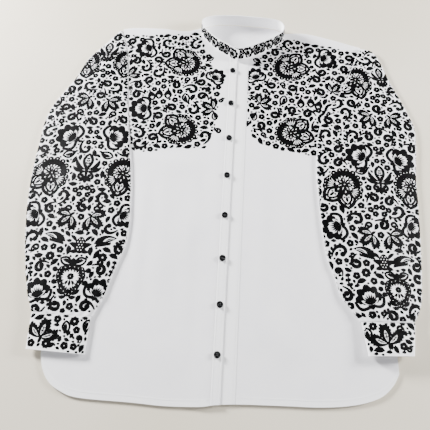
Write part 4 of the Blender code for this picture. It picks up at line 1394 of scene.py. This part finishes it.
def lay_round(worked, name, sheet, tube, ending=""):
    """Lays a drawn sheet on both sides of a sleeve or cuff."""
    for under in (False, True):
        label = f"{name}_{'under' if under else 'upper'}{ending}"
        worked[name] += lay(label, sheet, Facing(tube, under))


def draw(motifs):
    """Draws a table of motifs: which, x, y, then turn, size and whether it is mirrored."""
    sheet = Sheet()
    for motif, *place in motifs:
        motif(Pen(sheet).moved(*place))
    return sheet


def ring_cluster(pen):
    """Six ring flowers set as a crown."""
    for x, y in ((-16, 3), (-5.6, 8), (5.6, 8), (16, 3), (-7.6, -5), (7.6, -5)):
        rosette(pen.moved(x, y), 5.5)


def ring_pair(pen):
    """Two ring flowers side by side."""
    for side in (-1, 1):
        rosette(pen.moved(side * 6.2, 0), 5.6)


# Motifs: which, x, y, turn in degrees, size, and True where it is mirrored
RIGHT_CHEST = (
    (peony, -96, 574, 62, 1.12), (peony, -93, 414, 74, 1.12), (carnation, -184, 609, 110),
    (carnation, -178, 459, 98, 1.05), (carnation, -33, 544, -38, 0.82), (leaf_triple, -34, 466, 62),
    (leaf_triple, -214, 538, -30, 0.95), (veined_leaf, -55, 584, -55, 0.8), (bud, -146, 505, 180, 0.95),
    (bud, -128, 506, 180, 0.95), (bud, -164, 500, 200, 0.95), (scroll, -17, 494, 200, 0.62),
    (scroll, -92, 523, 40, 0.8), (scroll, -32, 418, 300, 0.75), (scroll, -62, 394, 20, 0.6, True),
    (veined_leaf, -86, 478, 20, 1.15), (sprig, -66, 516, 240, 0.9), (veined_leaf, -33, 458, 190, 0.9),
    (rosette, -52, 596), (rosette, -60, 566, 0, 0.9), (rosette, -139, 529), (rosette, -151, 522),
    (rosette, -48, 513, 0, 0.95), (rosette, -152, 474), (rosette, -152, 420), (rosette, -47, 434),
    (rosette, -150, 368, 0, 0.9), (rosette, -27, 518, 0, 0.9), (rosette, -196, 632),
    (rosette, -163, 634, 0, 0.9), (sprig, -100, 626, 80, 0.9), (sprig, -190, 400, 20),
    (snail, -203, 500, 10, 0.7),
)
LEFT_CHEST = (
    (peony, 114, 575, -62, 1.12, True), (peony, 120, 419, -74, 1.12, True),
    (carnation, 47, 552, 18, 0.84, True), (carnation, 193, 603, -112, 1.0, True),
    (carnation, 200, 463, -122, 1.05, True), (leaf_triple, 58, 484, -52, 1.0, True),
    (leaf_triple, 204, 520, -34, 0.95, True), (veined_leaf, 57, 586, 60, 0.85, True),
    (bud, 140, 500, 180, 0.95, True), (bud, 160, 502, 180, 0.95, True), (bud, 178, 496, 165, 0.95, True),
    (scroll, 40, 506, 170, 0.7, True), (scroll, 104, 522, -40, 0.8, True),
    (scroll, 44, 438, 60, 0.8, True), (scroll, 70, 404, -20, 0.7, True),
    (veined_leaf, 100, 484, -20, 1.15, True), (sprig, 92, 516, 120, 0.9, True),
    (veined_leaf, 50, 462, 170, 0.9, True), (rosette, 66, 602), (rosette, 70, 579, 0, 0.9),
    (rosette, 143, 524), (rosette, 155, 518), (rosette, 68, 516, 0, 0.95), (rosette, 34, 520),
    (rosette, 175, 475), (rosette, 78, 440), (rosette, 44, 456, 0, 0.9), (rosette, 76, 394, 0, 0.9),
    (rosette, 178, 626, 0, 0.9), (sprig, 118, 630, -84, 0.9, True), (rosette, 212, 626, 0, 0.9),
    (sprig, 160, 392, -60, 0.9, True),
)
RIGHT_SLEEVE_MOTIFS = (
    (peony, -303, 566, 158, 1.05), (peony, -219, 572, 202, 1.05, True), (crest, -262, 592),
    (ring_cluster, -272, 534), (leaf_triple, -283, 474, 132, 1.05),
    (leaf_triple, -245, 470, 228, 1.05, True), (carnation, -307, 385, 66, 1.12),
    (carnation, -218, 389, -66, 1.12, True), (ring_pair, -263, 397), (ring_pair, -263, 374, 0, 0.95),
    (snail, -345, 420, 40, 0.9), (veined_leaf, -290, 352, 110, 1.2),
    (veined_leaf, -240, 352, -110, 1.2, True), (peony, -327, 306, 158, 1.16),
    (peony, -194, 311, 202, 1.16, True), (crest, -262, 320, 0, 1.15), (ring_cluster, -260, 269),
    (scroll, -286, 224, 20, 0.85), (scroll, -226, 226, -20, 0.85, True),
    (leaf_triple, -274, 222, 132, 1.1), (leaf_triple, -240, 222, 228, 1.1, True),
    (carnation, -346, 220, 120), (carnation, -178, 226, -118, 0.9, True),
    (wing_leaf, -316, 186, -108, 0.92), (wing_leaf, -186, 184, 108, 0.92, True),
    (cone, -249, 168, 0, 1.15), (star_flower, -298, 146), (star_flower, -207, 148),
    (grand_flower, -256, 108, 0, 0.95), (carnation, -308, 84, 14, 0.95),
    (carnation, -206, 90, -22, 0.9, True), (sprig, -324, 108, 10, 0.85),
    (sprig, -192, 116, -14, 0.9, True), (scroll, -334, 150, 10, 0.9), (rosette, -330, 250),
    (rosette, -196, 250), (scroll, -292, 430, 340, 0.9, True), (scroll, -236, 428, 20, 0.9),
)
LEFT_SLEEVE_MOTIFS = (
    (peony, 250, 548, 165, 1.12), (crest, 302, 560, 10, 0.9), (ring_cluster, 299, 505),
    (leaf_triple, 276, 466, 132), (leaf_triple, 312, 464, 228, 1.0, True), (carnation, 248, 375, 66, 1.1),
    (carnation, 326, 369, -66, 1.1, True), (ring_pair, 287, 392), (ring_pair, 287, 366, 0, 0.95),
    (snail, 216, 424, 20, 1.05), (snail, 348, 420, -20, 0.9, True), (veined_leaf, 262, 348, 110, 1.2),
    (veined_leaf, 312, 346, -110, 1.2, True), (peony, 217, 312, 158, 1.18),
    (peony, 340, 317, 202, 1.1, True), (crest, 284, 328, 0, 1.1), (ring_cluster, 278, 262),
    (leaf_triple, 262, 218, 132, 1.05), (leaf_triple, 292, 218, 228, 1.05, True),
    (scroll, 252, 224, 20, 0.85), (scroll, 306, 226, -20, 0.85, True), (carnation, 196, 228, 110),
    (carnation, 336, 236, -110, 0.9, True), (wing_leaf, 226, 190, -108, 0.92),
    (wing_leaf, 330, 178, 108, 0.9, True), (cone, 278, 168, 0, 1.1), (snail, 206, 140, 20),
    (star_flower, 246, 148), (grand_flower, 298, 118, 0, 0.85), (carnation, 248, 104, 14, 0.95),
    (sprig, 222, 118, 14, 0.9), (rosette, 262, 440, 0, 0.9), (rosette, 192, 400),
    (rosette, 330, 440, 0, 0.9),
)
RIGHT_CUFF_MOTIFS = (
    (leaf_triple, -288, 8, -14, 1.2), (scroll, -266, 14, 30, 0.85, True),
    (star_flower, -236, 38, 0, 0.95), (star_flower, -276, -1, 20, 0.9), (veined_leaf, -245, 18, 12),
    (veined_leaf, -216, 22, -10), (sprig, -282, 10, -96, 0.95), (snail, -222, 4, 0, 0.75),
    (rosette, -231, -2, 0, 0.9), (scroll, -262, 2, 160, 0.6), (scroll, -300, 20, 120, 0.5),
    (sprig, -232, 10, 60, 0.7, True),
)
LEFT_CUFF_MOTIFS = (
    (leaf_triple, 272, 30, 10, 1.2), (scroll, 299, 46, 350, 0.75, True), (sprig, 288, 40, -70, 0.8),
    (rosette, 296, 27), (scroll, 308, 30, 200, 0.6), (veined_leaf, 246, 36, 20),
    (star_flower, 250, 58, 0, 0.8), (scroll, 280, 24, 80, 0.5),
)
# Lower and inner edges of the chest work
RIGHT_CHEST_EDGE = (
    (-67, 636), (-54, 602), (-37, 566), (-20, 540), (-22, 500), (-25, 466), (-27, 431), (-33, 397),
    (-45, 376), (-74, 374), (-112, 370), (-150, 361), (-188, 361),
)
LEFT_CHEST_EDGE = (
    (177, 368), (150, 372), (120, 376), (95, 380), (66, 388), (44, 410), (35, 446), (31, 493), (26, 530),
    (28, 560), (46, 590), (72, 618), (92, 634),
)
COLLAR_MARGIN, COLLAR_REPEATS, COLLAR_REPEAT = 1.6, 18, 25
# Where the pattern of each sleeve mirrors, and how far its filling runs on past the edge
SLEEVE_AXIS, SLEEVE_BEYOND = {"right": -260.0, "left": 283.0}, 5.0


def chest_outline(side):
    """The outline of one side's chest work, up to the shoulder seam and the armhole."""
    if side == "right":
        table, work, shoulder = RIGHT_SIDE, RIGHT_CHEST_EDGE, SHOULDER_RIGHT
    else:
        table, work, shoulder = LEFT_SIDE, LEFT_CHEST_EDGE, SHOULDER_LEFT
    arm = edge([row for row in table if row[1] > 365])
    seam = shoulder_rows(shoulder)[:, [0, 2]] - [0, 2]
    if side == "right":
        return np.vstack([arm, seam, work])
    return np.vstack([arm, seam[::-1], np.array(work)[::-1]])


def collar_drawing(rng):
    """Carnations and leaves by turns along the collar band, with the gaps filled."""
    motifs = []
    for number in range(COLLAR_REPEATS):
        x, up, flip = 12 + number * COLLAR_REPEAT, COLLAR_HEIGHT / 2, bool(number % 2)
        motifs.append((carnation, x, up, 115 if flip else 65, 0.48, flip))
        motifs.append((leaf_triple, x + COLLAR_REPEAT / 2, up, 90 if flip else -90, 0.56, flip))
    sheet = draw(motifs)
    low, high = COLLAR_MARGIN, COLLAR_HEIGHT - COLLAR_MARGIN
    Gaps(sheet, ((0, low), (COLLAR.long, low), (COLLAR.long, high), (0, high)), rng).fill()
    return sheet


def make_embroidery(worked):
    """Works the chest, sleeves, cuffs and collar, and keeps each piece with the cloth it lies on."""
    rng = random.Random(11)
    for side, motifs in (("right", RIGHT_CHEST), ("left", LEFT_CHEST)):
        sheet = draw(motifs)
        Gaps(sheet, chest_outline(side), rng).fill()
        worked[f"{side}_front"] += lay(f"{side}_chest", sheet, Body(FRONTS[side]))
    for side, motifs in (("right", RIGHT_SLEEVE_MOTIFS), ("left", LEFT_SLEEVE_MOTIFS)):
        sheet = draw(motifs)
        Gaps(sheet, SLEEVES[side].outline(), rng, SLEEVE_BEYOND, SLEEVE_AXIS[side]).fill()
        lay_round(worked, f"{side}_sleeve", sheet, SLEEVES[side])
    for side, motifs in (("right", RIGHT_CUFF_MOTIFS), ("left", LEFT_CUFF_MOTIFS)):
        sheet = draw(motifs)
        Gaps(sheet, CUFFS[side].outline(), rng).fill()
        lay_round(worked, f"{side}_cuff", sheet, CUFFS[side])
    worked["collar"] += lay("collar", collar_drawing(rng), COLLAR)


def seams(*lines):
    """A drawing of running stitches along lines."""
    sheet = Sheet()
    for line in lines:
        running_stitch(Pen(sheet), line)
    return sheet


def make_topstitching(worked):
    """White rows along the hems, shoulders, bands, cuffs and collar."""
    for side, shoulder in (("right", SHOULDER_RIGHT), ("left", SHOULDER_LEFT)):
        hem = edge(HEM, HEM_STEP) + [0, HEM_BAND - 1.5]
        forward = shoulder_rows(shoulder)[:, [0, 2]] - [0, SEAM_INSET]
        worked[f"{side}_front"] += lay(f"{side}_front_seams", seams(hem, forward), Body(FRONTS[side]))
    for name, columns, level in (
        ("overlap_band", (OVERLAP_LEFT + SEAM_INSET, OVERLAP_RIGHT - SEAM_INSET), ON_UNDERLAP_Z),
        ("underlap_band", (UNDERLAP_RIGHT - 1.8,), FRONT_Z),
    ):
        rows = [straight(x, neck_height(x) - 2, hem_height(x) + 1) for x in columns]
        low, high = min(columns) - 4, max(columns) + 4
        area = ((low, -90), (high, -90), (high, 700), (low, 700))
        band = Body(area, lambda x, y, top=level + DOUBLE: np.full(len(x), top))
        worked[name] += lay(f"{name}_seams", seams(*rows), band)
    for side, cuff in CUFFS.items():
        rows = [cuff.seam + (cuff.mouth - cuff.seam) * share for share in CUFF_SEAMS]
        drawn = seams(*(np.linspace(row[:2], row[2:], 20) for row in rows))
        lay_round(worked, f"{side}_cuff", drawn, cuff, "_seams")
    along = np.linspace(2, COLLAR.long - 2, 150)
    rows = [np.column_stack([along, np.full(150, up)]) for up in (1.5, COLLAR_HEIGHT - SEAM_INSET)]
    worked["collar"] += lay("collar_seams", seams(*rows), COLLAR)


def make_stage():
    """A pale floor just under the shirt, three soft lights and a dim room. Places are in metres."""
    bpy.ops.object.select_all(action="DESELECT")
    bpy.ops.mesh.primitive_plane_add(size=8.0, location=(0, 0, -0.0002))
    floor = bpy.context.object
    floor.name = "floor"
    floor.data.materials.append(floor_look())
    for name, place, size, power in (
        ("window_light", (-1.5, 0.8, 0.60), 0.35, 158.0),
        ("right_light", (1.6, 0.35, 0.52), 0.35, 82.0),
        ("front_light", (0.1, -1.3, 2.2), 1.4, 21.0),
    ):
        light = bpy.data.lights.new(name, "AREA")
        light.size, light.energy = size, power
        lamp = bpy.data.objects.new(name, light)
        lamp.location = place
        lamp.rotation_euler = Vector(place).to_track_quat("Z", "Y").to_euler()
        bpy.context.scene.collection.objects.link(lamp)
    world = bpy.data.worlds.new("soft_room")
    world.use_nodes = True
    world.node_tree.nodes["Background"].inputs[0].default_value = (0.90, 0.93, 1.0, 1)
    world.node_tree.nodes["Background"].inputs[1].default_value = 0.22
    bpy.context.scene.world = world


def make_camera():
    """The viewer stands past the hem and looks down at the shirt."""
    foot, high, turn, pitch = (-1.2, -36.1), 729.4, math.radians(3.395), math.radians(69.14)
    heading = Vector((-math.sin(turn), math.cos(turn), 0))
    forward = heading * math.cos(pitch) - Vector((0, 0, 1)) * math.sin(pitch)
    up = heading * math.sin(pitch) + Vector((0, 0, 1)) * math.cos(pitch)
    lens = bpy.data.cameras.new("viewer")
    lens.lens, lens.sensor_width, lens.sensor_height, lens.sensor_fit = 36.0, 36.0, 36.0, "HORIZONTAL"
    camera = bpy.data.objects.new("viewer", lens)
    right = forward.cross(up)
    camera.matrix_world = Matrix.Translation(
        (Vector((*foot, high)) - Vector(CENTRE)) * MM
    ) @ Matrix((right, up, -forward)).transposed().to_4x4()
    bpy.context.scene.collection.objects.link(camera)
    bpy.context.scene.camera = camera


make_camera()
cloth_pieces, shoulder_strips = make_body()
make_sleeves_and_cuffs(cloth_pieces)
make_collar(cloth_pieces)
with_cloth = {name: [] for name in cloth_pieces}
with_cloth["back"] += shoulder_strips
make_embroidery(with_cloth)
make_topstitching(with_cloth)
make_buttons()
make_stage()
